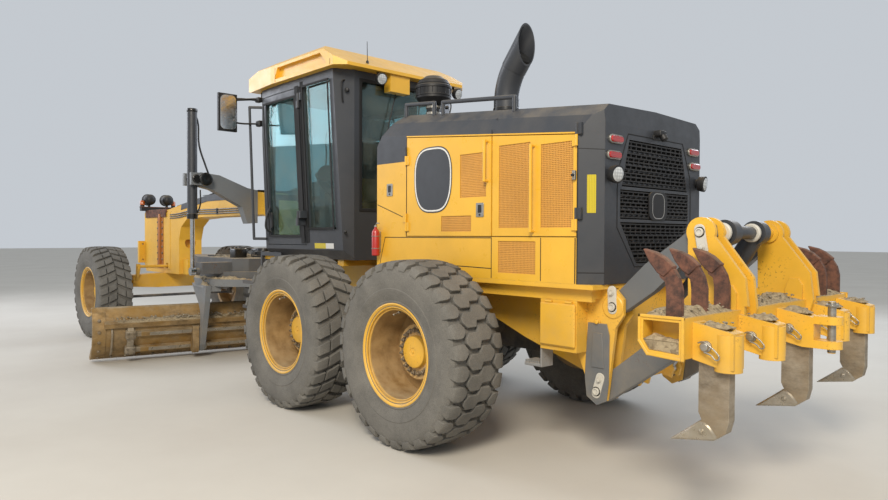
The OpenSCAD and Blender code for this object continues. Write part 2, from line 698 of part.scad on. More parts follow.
module knuckle() color(charcoal) {
    low = [axle_boss_z[0] - seat_gap - 95, axle_boss_z[0] - seat_gap];
    high = [axle_boss_z[1] + seat_gap, axle_boss_z[1] + seat_gap + 45];
    for (z = [low, high]) {
        bar_z(wheelbase, kingpin_y, z[0], z[1], knuckle_r);
        block([wheelbase - 60, wheelbase + 60], [kingpin_y, web_y + 1], z);
    }
    block([wheelbase - 60, wheelbase + 60], [web_y, web_y + 35], [low[0], high[1]]);
    bar_z(wheelbase, kingpin_y, low[0] - 10, high[1] + 15, kingpin_r);
    bar_y(wheelbase, web_y + 1, spindle_end_y, wheel_z, 78);
    block([wheelbase - steer_arm, wheelbase], [kingpin_y - 32, kingpin_y + 30], arm_z);
    bar_z(wheelbase - steer_arm, kingpin_y, arm_z[0], arm_z[1], 32.5);
    bar_z(wheelbase - steer_arm, kingpin_y, arm_z[0] - 55, arm_z[0] + eps, arm_pin_r);
}
module tie_rod() placed() color(charcoal) difference() {
    union() {
        bar_y(wheelbase - steer_arm, -kingpin_y + 30, kingpin_y - 30, arm_z[0] - 30, 20);
        both_sides() bar_z(wheelbase - steer_arm, kingpin_y, arm_z[0] - 54, arm_z[0] - 6, 44);
    }
    bar_z(wheelbase - steer_arm, kingpin_y, 0, wheel_z, arm_pin_r + seat_gap);
    bar_z(wheelbase - steer_arm, -kingpin_y, 0, wheel_z, arm_pin_r + 6);
}

// Cab: its outline is the crossing of a front view and a plan
module cab_form(t) intersection() {
    cross_plate([
        [-cab_sill_y + 110 + t, cab_floor_z + (t > 0 ? 40 : 0)], [cab_sill_y - 110 - t, cab_floor_z + (t > 0 ? 40 : 0)],
        [cab_sill_y - t, cab_sill_z + t / 2], [cab_top_y - t, cab_wall_z - t], [-cab_top_y + t, cab_wall_z - t],
        [-cab_sill_y + t, cab_sill_z + t / 2]
    ], cab_rear_x - 50, cab_front_x + 50);
    linear_extrude(cab_wall_z + 100) polygon([
        [cab_rear_x + t, -540 + t / 2], [cab_rear_x + 90 + t / 2, -cab_top_y - 20 + t],
        [1320, -cab_top_y - 20 + t], [cab_front_x - 50 - t / 2, -cab_top_y + 25 + t], [cab_front_x - t, -590 + t],
        [cab_front_x - t, 590 - t], [cab_front_x - 50 - t / 2, cab_top_y - 25 - t],
        [1320, cab_top_y + 20 - t], [cab_rear_x + 90 + t / 2, cab_top_y + 20 - t], [cab_rear_x + t, 540 - t / 2]
    ]);
}
cab_door_x = [1330, 2090];
cab_door_z = [1370, 2880];
pane_gap = 0.5;
module cab_shell(t0, t1) difference() {
    cab_form(t0);
    cab_form(t1);
}
module cab_door_zone(gap) block([cab_door_x[0] + gap, cab_door_x[1] - gap], [300, 900],
    [cab_door_z[0] + gap, cab_door_z[1] - gap]);
module door_pane_zone(gap) block([cab_door_x[0] + 80 + gap, cab_door_x[1] - 70 - gap], [250, 950],
    [cab_door_z[0] + 90 + gap, cab_door_z[1] - 80 - gap]);
// Fixed windows: [x from, x to, y from, y to, z from, z to]
side_pane = [cab_rear_x + 140, cab_door_x[0] - 60, 300, 900, 1520, 2880];
fixed_panes = [
    [cab_rear_x - 60, cab_rear_x + 65, -470, 470, 1700, 2880],
    [cab_front_x - 80, cab_front_x + 60, -540, 540, 1900, 2880],
    [cab_front_x - 80, cab_front_x + 60, 60, 500, 1380, 1840],
    [cab_front_x - 80, cab_front_x + 60, -500, -60, 1380, 1840]
];
module pane_zone(p, gap) block([p[0], p[1]], [p[2] + gap, p[3] - gap], [p[4] + gap, p[5] - gap]);
module side_pane_zone(gap) block([side_pane[0] + gap, side_pane[1] - gap], [side_pane[2], side_pane[3]],
    [side_pane[4] + gap, side_pane[5] - gap]);
function cab_side_y(z) = cab_sill_y + (z - cab_sill_z) * (cab_top_y - cab_sill_y) / (cab_wall_z - cab_sill_z);
cab_hinge_x = cab_door_x[0] + door_gap / 2;
cab_hinge_z = [1560, 2680];
// One half of a cab door's hinge: its leaf goes towards dir from the hinge line
module cab_hinge(dir, z) {
    bar_z(cab_hinge_x, cab_top_y + hinge_off, z, z + hinge_len, 12);
    block(dir > 0 ? [cab_hinge_x, cab_hinge_x + 40] : [cab_hinge_x - 40, cab_hinge_x],
        [cab_side_y(z) - 25, cab_top_y + hinge_off], [z, z + hinge_len]);
}
module cab_body() placed() color(charcoal) {
    difference() {
        cab_shell(0, cab_t);
        both_sides() cab_door_zone(0);
        both_sides() side_pane_zone(0);
        for (p = fixed_panes) pane_zone(p, 0);
    }
    both_sides() for (z = cab_hinge_z) cab_hinge(-1, z + hinge_len + seat_gap);
}
module cab_glass() placed() color(glass_blue) {
    intersection() {
        cab_shell(20, 20 + glass_t);
        union() for (p = fixed_panes) pane_zone(p, pane_gap);
    }
    both_sides() intersection() {
        cab_shell(20, 20 + glass_t);
        side_pane_zone(pane_gap);
    }
}
module cab_door() color(charcoal) {
    difference() {
        intersection() {
            cab_shell(0, cab_t);
            cab_door_zone(door_gap);
        }
        door_pane_zone(0);
    }
    for (z = cab_hinge_z) cab_hinge(1, z);
}
module cab_door_glass() color(glass_blue) intersection() {
    cab_shell(20, 20 + glass_t);
    door_pane_zone(pane_gap);
}
roof_x = [560, 2500];
roof_y = 790;
roof_top_z = cab_wall_z + roof_h;
roof_top_y = 690;
recess_x = [800, 1620];
vent_y = [-30, 200];
// Roof: the crossing of its side view, its plan and its cross-section, with a recess over a lip on each side
module cab_roof() placed() color(yellow) {
    difference() {
        intersection() {
            side_plate([
                [roof_x[0], cab_wall_z], [roof_x[0], cab_wall_z + 30], [roof_x[0] + 360, roof_top_z],
                [roof_x[1] - 720, roof_top_z], [roof_x[1] - 30, cab_wall_z + 120], [roof_x[1], cab_wall_z + 75],
                [roof_x[1] - 60, cab_wall_z + 45], [cab_front_x + 110, cab_wall_z]
            ], -roof_y - 50, roof_y + 50);
            linear_extrude(roof_top_z + 100) polygon([
                [roof_x[0] - 20, 110 - roof_y], [roof_x[0] + 90, -roof_y], [roof_x[1] - 750, -roof_y],
                [roof_x[1] - 200, 50 - roof_y], [roof_x[1] + 20, 160 - roof_y], [roof_x[1] + 20, roof_y - 160],
                [roof_x[1] - 200, roof_y - 50], [roof_x[1] - 750, roof_y], [roof_x[0] + 90, roof_y],
                [roof_x[0] - 20, roof_y - 110]
            ]);
            cross_plate([
                [-roof_y - 20, cab_wall_z - 20], [-roof_y - 20, cab_wall_z + 155], [-roof_top_y, roof_top_z + 3],
                [roof_top_y, roof_top_z + 3], [roof_y + 20, cab_wall_z + 155], [roof_y + 20, cab_wall_z - 20]
            ], roof_x[0] - 50, roof_x[1] + 50);
        }
        both_sides() side_plate([
            [recess_x[0] - 40, cab_wall_z + 35], [recess_x[1] + 50, cab_wall_z + 35],
            [recess_x[1], cab_wall_z + 140], [recess_x[0] + 60, cab_wall_z + 140]
        ], roof_y - 40, roof_y + 10);
    }
    block([roof_x[0] + 25, cab_rear_x - seat_gap], vent_y, [cab_wall_z - 160, cab_wall_z + eps]);
}
module cab_interior() placed() color(charcoal) {
    floor_z = cab_floor_z + 40;
    block([1180, 1380], [-140, 140], [floor_z, floor_z + 280]);
    block([1050, 1520], [-240, 240], [floor_z + 280 - eps, floor_z + 420]);
    block([1000, 1100], [-230, 230], [floor_z + 420 - eps, floor_z + 1050]);
    block([1850, 1950], [-90, 90], [floor_z, floor_z + 750]);
    bar([1830, 0, floor_z + 780], [1850, 0, floor_z + 770], 190);
    bar([1840, 0, floor_z + 775], [1900, 0, floor_z + 740], 30);
}
arm_x = [lift_x - 60, lift_x + 60];
trunnion_r = 38;
module lift_arms() placed() color(arm_grey) both_sides() difference() {
    union() {
        cross_plate([
            [beam_y + seat_gap, beam_bottom_z - 100], [beam_y + 130, beam_bottom_z - 110],
            [beam_y + 200, beam_bottom_z + 90],
            [lift_y - 210, lift_trunnion_z - 110], [lift_y - 75, lift_trunnion_z - 80],
            [lift_y - 75, lift_trunnion_z + 80],
            [lift_y - 300, lift_trunnion_z + 60], [beam_y + 130, beam_top_z + 20], [beam_y + seat_gap, beam_top_z]
        ], arm_x[0], arm_x[1]);
        for (x = [arm_x[0] - 60, arm_x[1] + 15])
            block([x, x + 45], [lift_y - 110, lift_y + 60], [lift_trunnion_z - 70, lift_trunnion_z + 70]);
        block([arm_x[0] - 60, arm_x[1] + 60], [lift_y - 115, lift_y - 75], [lift_trunnion_z - 70, lift_trunnion_z + 70]);
    }
    bar_x(arm_x[0] - 100, arm_x[1] + 100, lift_y, lift_trunnion_z, trunnion_r + seat_gap);
}
lift_eye_z = 1050;
module lift_barrels() placed() color(charcoal) both_sides() {
    difference() {
        union() {
            bar_z(lift_x, lift_y, 1660, 2900, lift_barrel_r);
            bar_x(arm_x[0] - 60, arm_x[1] + 60, lift_y, lift_trunnion_z, trunnion_r);
        }
        bar_z(lift_x, lift_y, 1600, 2850, lift_rod_r + seat_gap);
    }
}
module lift_rods() placed() color(bright) both_sides() {
    bar_z(lift_x, lift_y, lift_eye_z + 20, 2330, lift_rod_r);
    bar_y(lift_x, lift_y - 28, lift_y + 28, lift_eye_z, 45);
}
module steps_and_rails() placed() color(charcoal) both_sides() difference() {
    union() {
        for (z = [700, 960]) block([2000, 2330], [589, 800], [z, z + 35]);
        for (x = [2000, 2300]) block([x, x + 30], [560, 590], [660, cab_floor_z + 60]);
        block([1900, 2330], [cab_sill_y - 115, 590], [cab_floor_z + 10, cab_floor_z + 50]);
        tube([[cab_front_x - 40, 640, 1430], [2230, 720, 1430], [2230, 770, 2800], [cab_front_x - 22, 640, 2800]], 14);
    }
    cab_form(-seat_gap);
}
module mirrors() placed() color(charcoal) both_sides() {
    block([2185, 2215], [930, 1130], [2520, 2900]);
    bar([2200, 940, 2850], [2200, 640, 2900], 12);
    bar_z(2200, 640, 2900, cab_wall_z - seat_gap, 13);
}
module head_lamps() placed() color(charcoal) {
    lamp_x = nose_front_x - 170;
    block([lamp_x - 40, lamp_x + 40], [-270, 270], [nose_top_z, nose_top_z + 60]);
    both_sides() {
        bar_z(lamp_x, 140, nose_top_z + 60 - eps, nose_top_z + 110, 20);
        bar_x(lamp_x - 60, lamp_x + 60, 140, nose_top_z + 180, 85);
        bar_z(lamp_x, 245, nose_top_z + 60 - eps, nose_top_z + 150, 32);
    }
}

// Drawbar, circle and blade
drawbar_z = [ball_z + 40, ball_z + 190];
carrier_z = circle_z + circle_h + seat_gap;
module drawbar() placed() color(arm_grey) {
    translate([ball_x, 0, ball_z]) sphere(r = ball_r);
    bar([ball_x, 0, ball_z], [ball_x - 300, 0, ball_z + 80], 42);
    difference() {
        translate([0, 0, drawbar_z[0]]) linear_extrude(drawbar_z[1] - drawbar_z[0]) polygon([
            [ball_x - 200, -90], [ball_x - 200, 90], [circle_x + 750, 470], [circle_x - 350, 520],
            [circle_x - 480, 380], [circle_x - 480, -380], [circle_x - 350, -520], [circle_x + 750, -470]
        ]);
        translate([0, 0, drawbar_z[0] - eps]) linear_extrude(400) polygon([
            [ball_x - 620, -60], [ball_x - 620, 60], [circle_x + 780, 310], [circle_x + 780, -310]
        ]);
    }
    translate([circle_x, 0, carrier_z]) difference() {
        cylinder(r = circle_r - 60, h = drawbar_z[0] - carrier_z + eps);
        translate([0, 0, -eps]) cylinder(r = circle_r - 200, h = 200);
    }
    both_sides() block([lift_x - 90, lift_x + 90], [480, lift_y - 75], [drawbar_z[0] - 20, drawbar_z[1] - 40]);
    both_sides() bar_y(lift_x, lift_y - 80, lift_y - 36, lift_eye_z, 40);
}
cheek_t = 60;
edge_x = circle_x + blade_x;
// The blade leans on its edge: its own frame has u forward and w up along its chord
pivot_u = -257;
pivot_w = 217;
pivot_x = edge_x + pivot_u * cos(blade_lean) - pivot_w * sin(blade_lean);
pivot_z = blade_z + pivot_u * sin(blade_lean) + pivot_w * cos(blade_lean);
pivot_r = 32;
module parked() translate([circle_x, 0, 0]) rotate([0, 0, -circle_turn]) translate([-circle_x, 0, 0]) children();
module blade_frame(y) placed() parked() translate([edge_x, y, blade_z]) rotate([0, -blade_lean, 0]) children();
module blade_circle() placed() parked() color(arm_grey) {
    translate([circle_x, 0, circle_z]) difference() {
        cylinder(r = circle_r, h = circle_h);
        translate([0, 0, -eps]) cylinder(r = circle_r - circle_band, h = circle_h + 2 * eps);
    }
    both_sides() difference() {
        union() {
            side_plate([
                [circle_x - 420, circle_z + 10], [circle_x + 260, circle_z + 10], [circle_x + 240, circle_z - 10],
                [circle_x + 100, circle_z - 110], [pivot_x, circle_z - 210], [pivot_x - 80, circle_z - 310],
                [pivot_x - 90, circle_z - 400], [pivot_x - 62, pivot_z + 215], [pivot_x + 10, pivot_z + 49],
                [pivot_x + 20, pivot_z - 46], [pivot_x - 30, pivot_z - 42], [pivot_x - 95, pivot_z + 30],
                [pivot_x - 170, pivot_z + 200], [pivot_x - 240, circle_z - 370], [circle_x - 380, circle_z - 170]
            ], cheek_y - cheek_t / 2, cheek_y + cheek_t / 2);
            bar_y(pivot_x, cheek_y - cheek_t / 2 - 5, cheek_y + cheek_t / 2, pivot_z, 52);
        }
        bar_y(pivot_x, cheek_y - 100, cheek_y + 100, pivot_z, pivot_r + seat_gap);
    }
    both_sides() block([circle_x - 400, circle_x + 240], [circle_r - circle_band - 60, cheek_y - cheek_t / 2 + eps],
        [circle_z - 60, circle_z + 10]);
}
blade_mid = blade_h / 2;
blade_u = sqrt(blade_curve_r * blade_curve_r - blade_mid * blade_mid);
// The blade's back and front surfaces at height w
function blade_back(w) = blade_u - sqrt(pow(blade_curve_r, 2) - pow(w - blade_mid, 2));
function blade_front(w) = blade_u - sqrt(pow(blade_curve_r - blade_t, 2) - pow(w - blade_mid, 2));
slide_w = [200, 400];
slide_u = -195;
slide_half = 28;
module tilt_frame() blade_frame(0) color(worn_steel) both_sides() {
    y = [cheek_y + cheek_t / 2 + 5, cheek_y + cheek_t / 2 + 75];
    difference() {
        side_plate([
            [pivot_u - 53, pivot_w - 37], [pivot_u - 33, pivot_w - 59], [pivot_u + 27, pivot_w - 67],
            [-168, 158], [-168, 455], [-215, 470], [pivot_u - 33, pivot_w + 83], [pivot_u - 58, pivot_w + 23]
        ], y[0], y[1]);
        for (w = slide_w) block([slide_u - seat_gap, 0], [y[0] - eps, y[1] + eps],
            [w - slide_half - seat_gap, w + slide_half + seat_gap]);
    }
    bar_y(pivot_u, cheek_y - cheek_t / 2 - 15, y[0] + eps, pivot_w, pivot_r);
}
// The cutting edge, t in front of the moldboard
module cutting_edge(t, y0, y1) side_plate([
    [blade_back(0) + 20, 0], [blade_front(0) + t / 2, 0], [blade_front(170) + t, 170 + t / 2],
    [blade_front(170) - 8, 170 + t / 2], [blade_front(85) - 14, 85]
], y0, y1);
module moldboard() blade_frame(blade_shift) color(worn_steel) {
    intersection() {
        translate([blade_u, blade_len / 2, blade_mid]) rotate([90, 0, 0]) difference() {
            cylinder(r = blade_curve_r, h = blade_len);
            translate([0, 0, -eps]) cylinder(r = blade_curve_r - blade_t, h = blade_len + 2 * eps);
        }
        block([-blade_curve_r, 3 * blade_t], [-blade_len, blade_len], [0, blade_h]);
    }
    for (w = slide_w) block([slide_u, blade_back(w) + 14], [-blade_len / 2 + 500, blade_len / 2 - 500],
        [w - slide_half, w + slide_half]);
    side_plate([
        [slide_u + 25, 480], [blade_back(480) + 8, 480], [blade_back(540) + 10, 540], [slide_u + 25, 540]
    ], -blade_len / 2 + 120, blade_len / 2 - 120);
    cutting_edge(20, -blade_len / 2 + 159, blade_len / 2 - 159);
    both_sides() cutting_edge(30, blade_len / 2 - 160, blade_len / 2);
}

// Ripper: a parallelogram of links carries the beam
pin_d_x = link_top_x - link_run;
pin_d_z = link_top_z + link_rise;
pin_c_x = link_low_x - link_run;
pin_c_z = link_low_z + link_rise;
link_in_y = link_y - link_w / 2;
link_out_y = link_y + link_w / 2;
module link_pin(x, z) bar_y(x, ear_in_y[0] + 3, ear_out_y[1] + 12, z, link_pin_r);
module ripper_lower_links() placed() color(arm_grey) both_sides() {
    side_plate([
        [link_low_x - 50, link_low_z - 65], [link_low_x + 30, link_low_z - 60], [link_low_x + 60, link_low_z + 10],
        [link_low_x + 10, link_low_z + 65], [pin_c_x + 90, pin_c_z - 15], [pin_c_x + 20, pin_c_z + 55],
        [pin_c_x - 50, pin_c_z + 35], [pin_c_x - 60, pin_c_z - 40], [pin_c_x + 40, pin_c_z - 190]
    ], link_in_y, link_out_y);
    link_pin(link_low_x, link_low_z);
    link_pin(pin_c_x, pin_c_z);
}
module ripper_upper_links() placed() color(arm_grey) both_sides() {
    side_plate([
        [link_top_x + 20, link_top_z - 60], [link_top_x + 60, link_top_z + 10], [link_top_x + 20, link_top_z + 60],
        [link_top_x - 200, link_top_z + 270], [pin_d_x + 10, pin_d_z + 60], [pin_d_x - 45, pin_d_z + 40],
        [pin_d_x - 55, pin_d_z - 20], [pin_d_x - 10, pin_d_z - 60], [link_top_x - 260, link_top_z + 110],
        [link_top_x - 60, link_top_z - 30]
    ], link_in_y, link_out_y);
    link_pin(link_top_x, link_top_z);
    link_pin(pin_d_x, pin_d_z);
}
beam_back_x = ripper_front_x - ripper_beam_d;
holder_back_x = beam_back_x - 200;
holder_z = [ripper_z - 45, ripper_z + ripper_h - 20];
holder_w = 110;
shank_w = 150;
shank_t = 60;
shank_x = holder_back_x + 30;
tower_foot_x = ripper_front_x + 50;
ripper_cyl_pin_r = 34;
module tower_plate(y) difference() {
    union() {
        side_plate([
            [tower_foot_x + 130, pin_c_z + 70], [tower_foot_x + 130, pin_c_z - 75], [tower_foot_x, pin_c_z - 85],
            [beam_back_x, ripper_z + 40], [beam_back_x - 40, ripper_z + ripper_h],
            [beam_back_x - 20, ripper_z + ripper_h + 170], [pin_d_x - 78, pin_d_z - 20],
            [pin_d_x - 20, pin_d_z + 30], [pin_d_x + 40, pin_d_z + 20], [pin_d_x + 75, pin_d_z - 30],
            [tower_foot_x + 20, ripper_z + ripper_h + 60]
        ], y[0], y[1]);
        bar_y(pin_d_x, y[0], y[1], pin_d_z, 84);
    }
    for (pin = [[pin_d_x, pin_d_z], [pin_c_x, pin_c_z]])
        bar_y(pin[0], y[0] - eps, y[1] + eps, pin[1], link_pin_r + seat_gap);
}
module ripper_beam() placed() color(yellow) {
    wall = 20;
    difference() {
        union() {
            side_plate([
                [ripper_front_x, ripper_z + ripper_h], [ripper_front_x, ripper_z + 60], [ripper_front_x - 45, ripper_z],
                [beam_back_x, ripper_z - 10], [beam_back_x, ripper_z + ripper_h]
            ], -ripper_half_y, ripper_half_y);
            both_sides() {
                tower_plate(ear_in_y);
                tower_plate(ear_out_y);
            }
            for (i = [-2 : 2]) {
                y = i * shank_pitch;
                side_plate([
                    [beam_back_x + eps, holder_z[1]], [beam_back_x + eps, holder_z[0] + 30], [holder_back_x + 60, holder_z[0]],
                    [holder_back_x, holder_z[0]], [holder_back_x, holder_z[1] - 40], [holder_back_x + 40, holder_z[1] - 30]
                ], y - holder_w / 2, y + holder_w / 2);
                if (i != 0) bar_z(holder_back_x + 48, y, holder_z[0] - 15, holder_z[1] - 50, holder_w / 2 + 8);
            }
            both_sides() side_plate([
                [beam_back_x + 20, ripper_z + ripper_h - eps], [beam_back_x + 20, ripper_z + ripper_h + 90],
                [beam_back_x + 45, ripper_z + ripper_h + 130], [beam_back_x + 100, ripper_z + ripper_h + 130],
                [beam_back_x + 125, ripper_z + ripper_h + 60], [beam_back_x + 125, ripper_z + ripper_h - eps]
            ], ear_in_y[0] - 14, ear_out_y[1] + 14);
            for (z = [holder_z[0], holder_z[1] - 75])
                block([tow_rear_x + 50, holder_back_x + eps], [-holder_w / 2, holder_w / 2], [z, z + 45]);
            for (z = [holder_z[0], holder_z[1] - 75])
                bar_z(tow_rear_x + holder_w / 2, 0, z, z + 45, holder_w / 2);
        }
        both_sides() side_plate([
            [ripper_front_x - wall, ripper_z + ripper_h - wall], [ripper_front_x - wall, ripper_z + 65],
            [ripper_front_x - 50, ripper_z + wall], [beam_back_x + wall, ripper_z + wall - 8],
            [beam_back_x + wall, ripper_z + ripper_h - wall]
        ], ripper_half_y - 90, ripper_half_y + eps);
        for (i = [-2 : 2]) block([shank_x - seat_gap, shank_x + shank_w + seat_gap],
            [i * shank_pitch - shank_t / 2 - seat_gap, i * shank_pitch + shank_t / 2 + seat_gap],
            [holder_z[0] - 20, holder_z[1] + 40]);
        both_sides() block([pin_c_x - 70, tower_foot_x + 200], [link_in_y - 5, link_out_y + 5], [ripper_z - 100, pin_c_z + 90]);
    }
    both_sides() bar_y(pin_d_x, ear_in_y[0] - 15, ear_in_y[0] + 2, pin_d_z, 60);
    bar_y(pin_d_x, -ear_in_y[0] + 14, ear_in_y[0] - 14, pin_d_z, ripper_cyl_pin_r);
    bar_z(tow_rear_x + holder_w / 2, 0, holder_z[0] - 25, holder_z[1] + 50, 20);
}
module ripper_shanks() placed() color(worn_steel) for (i = [-2 : 2 : 2]) {
    y = i * shank_pitch;
    top_z = holder_z[1] - 40;
    side_plate([
        [shank_x, top_z], [shank_x, 600], [shank_x + 15, 540], [shank_x + 70, 500], [shank_x + 170, 485],
        [shank_x + 290, 465], [shank_x + 130, 580], [shank_x + shank_w, 620], [shank_x + shank_w, top_z]
    ], y - shank_t / 2, y + shank_t / 2);
}
tooth_pitch = 250;
module scarifier_teeth() placed() color(rust) both_sides() for (i = [0 : 2])
    translate([beam_back_x + 30, 0, ripper_z + ripper_h]) side_plate([
        [0, 0], [0, 130], [15, 190], [45, 240], [95, 285], [200, 325],
        [150, 250], [118, 215], [112, 190], [85, 170], [78, 120], [78, 0]
    ], 585 + i * tooth_pitch, 615 + i * tooth_pitch);
ripper_eye = [ripper_eye_x, ripper_cyl_y, 560];
ripper_pin = [pin_d_x, ripper_cyl_y, pin_d_z];
ripper_dir = (ripper_eye - ripper_pin) / norm(ripper_eye - ripper_pin);
module ripper_barrels() placed() color(charcoal) both_sides() difference() {
    union() {
        bar_y(pin_d_x, ripper_cyl_y - 40, ripper_cyl_y + 40, pin_d_z, 75);
        bar(ripper_pin, ripper_pin + ripper_dir * 640, 62);
    }
    bar_y(pin_d_x, ripper_cyl_y - 70, ripper_cyl_y + 70, pin_d_z, ripper_cyl_pin_r + seat_gap);
    bar(ripper_pin + ripper_dir * 100, ripper_pin + ripper_dir * 700, 26 + seat_gap);
}
module ripper_rods() placed() color(bright) both_sides() {
    bar(ripper_eye - ripper_dir * 600, ripper_eye - ripper_dir * 30, 26);
    bar_y(ripper_eye[0], ripper_cyl_y - 30, ripper_cyl_y + 30, ripper_eye[2], 42);
}
module right() mirror([0, 1, 0]) children();

rear_frame();
ripper_lugs();
rear_axle();
tandem_cases();
hood();
hood_cap();
hood_tail();
engine();
exhaust_stack();
air_cleaner();
side_boxes();
hood_rails();
rear_lamps();
extinguisher();
placed() front_engine_door();  // hood_door_front_left
placed() right() front_engine_door();  // hood_door_front_right
placed() rear_engine_door();  // hood_door_rear_left
placed() right() rear_engine_door();  // hood_door_rear_right
rear_rim(-tandem_spacing / 2, 1);  // rim_rear_left
wheel_tyre(-tandem_spacing / 2, 1);  // tyre_rear_left
rear_rim(-tandem_spacing / 2, -1);  // rim_rear_right
wheel_tyre(-tandem_spacing / 2, -1);  // tyre_rear_right
rear_rim(tandem_spacing / 2, 1);  // rim_mid_left
wheel_tyre(tandem_spacing / 2, 1);  // tyre_mid_left
rear_rim(tandem_spacing / 2, -1);  // rim_mid_right
wheel_tyre(tandem_spacing / 2, -1);  // tyre_mid_right
front_frame();
front_axle();
cab_body();
cab_roof();
cab_glass();
cab_interior();
lift_arms();
lift_barrels();
steps_and_rails();
mirrors();
head_lamps();
placed() cab_door();  // cab_door_left
placed() right() cab_door();  // cab_door_right
placed() cab_door_glass();  // cab_door_glass_left
placed() right() cab_door_glass();  // cab_door_glass_right
placed() knuckle();  // knuckle_left
placed() right() knuckle();  // knuckle_right
tie_rod();
front_rim(1);  // rim_front_left
wheel_tyre(wheelbase, 1);  // tyre_front_left
front_rim(-1);  // rim_front_right
wheel_tyre(wheelbase, -1);  // tyre_front_right
drawbar();
lift_rods();
blade_circle();
tilt_frame();
moldboard();
ripper_lower_links();
ripper_upper_links();
ripper_beam();
ripper_shanks();
scarifier_teeth();
ripper_barrels();
ripper_rods();
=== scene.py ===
"""Motor grader with a rear ripper: looks, small pieces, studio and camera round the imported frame.

Sizes are in metres. Stations along X are counted from the tandem pivot, as in the part's source.
"""

import json
import math
import random

import bpy
from mathutils import Matrix, Vector, noise


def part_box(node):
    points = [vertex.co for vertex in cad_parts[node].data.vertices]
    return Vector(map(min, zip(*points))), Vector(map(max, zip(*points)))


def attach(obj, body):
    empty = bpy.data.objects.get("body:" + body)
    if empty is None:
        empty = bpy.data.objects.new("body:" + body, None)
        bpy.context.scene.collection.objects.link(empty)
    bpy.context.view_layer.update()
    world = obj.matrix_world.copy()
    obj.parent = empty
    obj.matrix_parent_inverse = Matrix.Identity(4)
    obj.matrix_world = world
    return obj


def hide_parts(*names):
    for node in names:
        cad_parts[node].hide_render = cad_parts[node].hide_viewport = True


bl_info = {
    "name": "Motor Grader",
    "version": (1, 0, 0),
    "blender": (4, 2, 0),
    "location": "View3D > Sidebar > Grader",
    "description": "Adds the looks and small pieces of a motor grader to its packed frame",
    "category": "Add Mesh",
}

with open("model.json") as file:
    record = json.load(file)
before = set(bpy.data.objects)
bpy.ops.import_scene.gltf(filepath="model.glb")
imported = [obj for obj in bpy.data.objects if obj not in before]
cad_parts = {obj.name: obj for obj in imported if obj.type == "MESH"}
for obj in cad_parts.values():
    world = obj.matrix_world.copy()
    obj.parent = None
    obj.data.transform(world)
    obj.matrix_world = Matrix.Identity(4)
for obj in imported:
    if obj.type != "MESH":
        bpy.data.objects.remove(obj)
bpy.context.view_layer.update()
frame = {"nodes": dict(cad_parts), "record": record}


def middle(node_name):
    """The middle of a CAD node's box."""
    low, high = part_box(node_name)
    return (low + high) / 2


# The tandem pivot lies midway between the two left rear wheels
TANDEM_X = (middle("tyre_rear_left").x + middle("tyre_mid_left").x) / 2
WHEEL_Z = middle("tyre_rear_left").z
WHEEL_Y = middle("tyre_rear_left").y
FRONT_AXLE_X = middle("tyre_front_left").x - TANDEM_X
TYRE_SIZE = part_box("tyre_rear_left")[1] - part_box("tyre_rear_left")[0]
TYRE_R = TYRE_SIZE.x / 2
TYRE_W = TYRE_SIZE.y
HOOD_Y = 0.70
SIDES = {"left": 1, "right": -1}
LEFT, AHEAD, BACK, UP = (0, 1, 0), (1, 0, 0), (-1, 0, 0), (0, 0, 1)
OTHER_SIDE = Matrix.Scale(-1, 4, LEFT)


def at(x, y, z):
    """A point in the row frame, from its station, side and height."""
    return Vector((TANDEM_X + x, y, z))


# Basic modelling steps


def deselect():
    """Leaves edit mode with nothing selected."""
    if bpy.context.object and bpy.context.object.mode != "OBJECT":
        bpy.ops.object.mode_set(mode="OBJECT")
    bpy.ops.object.select_all(action="DESELECT")


def pick(*objs):
    """Selects these objects alone, with the first one active."""
    deselect()
    for obj in objs:
        obj.select_set(True)
    bpy.context.view_layer.objects.active = objs[0]


def settled():
    """The object just added, with its place, turn and size moved into its mesh."""
    bpy.ops.object.transform_apply(location=True, rotation=True, scale=True)
    return bpy.context.object


def modified(obj, kind, **settings):
    """The object after one modifier is added and applied."""
    pick(obj)
    modifier = obj.modifiers.new(kind.title(), kind)
    for key, value in settings.items():
        setattr(modifier, key, value)
    bpy.ops.object.modifier_apply(modifier=modifier.name)
    return obj


def softened(obj, width, segments=2):
    """The object with its sharp edges rounded."""
    return modified(
        obj, "BEVEL", width=width, segments=segments, limit_method="ANGLE", angle_limit=math.radians(35)
    )


def block(low, high, edge=0.004, segments=1):
    """A box between two corners, with its edges rounded."""
    deselect()
    low, high = Vector(low), Vector(high)
    bpy.ops.mesh.primitive_cube_add(size=1, location=(low + high) / 2, scale=high - low)
    return softened(settled(), edge, segments)


def rod(start, end, radius, sides=24, edge=0.0):
    """A round bar between two points."""
    deselect()
    start, end = Vector(start), Vector(end)
    run = end - start
    bpy.ops.mesh.primitive_cylinder_add(
        vertices=sides,
        radius=radius,
        depth=run.length,
        location=(start + end) / 2,
        rotation=run.to_track_quat("Z", "Y").to_euler(),
    )
    obj = settled()
    return softened(obj, edge) if edge else obj


def ring(centre, radius, thickness, axis="Y", major=48, minor=12):
    """A round ring about an axis through its centre."""
    deselect()
    turn = {"X": (0, math.pi / 2, 0), "Y": (math.pi / 2, 0, 0), "Z": (0, 0, 0)}[axis]
    bpy.ops.mesh.primitive_torus_add(
        location=centre, rotation=turn, major_radius=radius, minor_radius=thickness,
        major_segments=major, minor_segments=minor,
    )
    return settled()


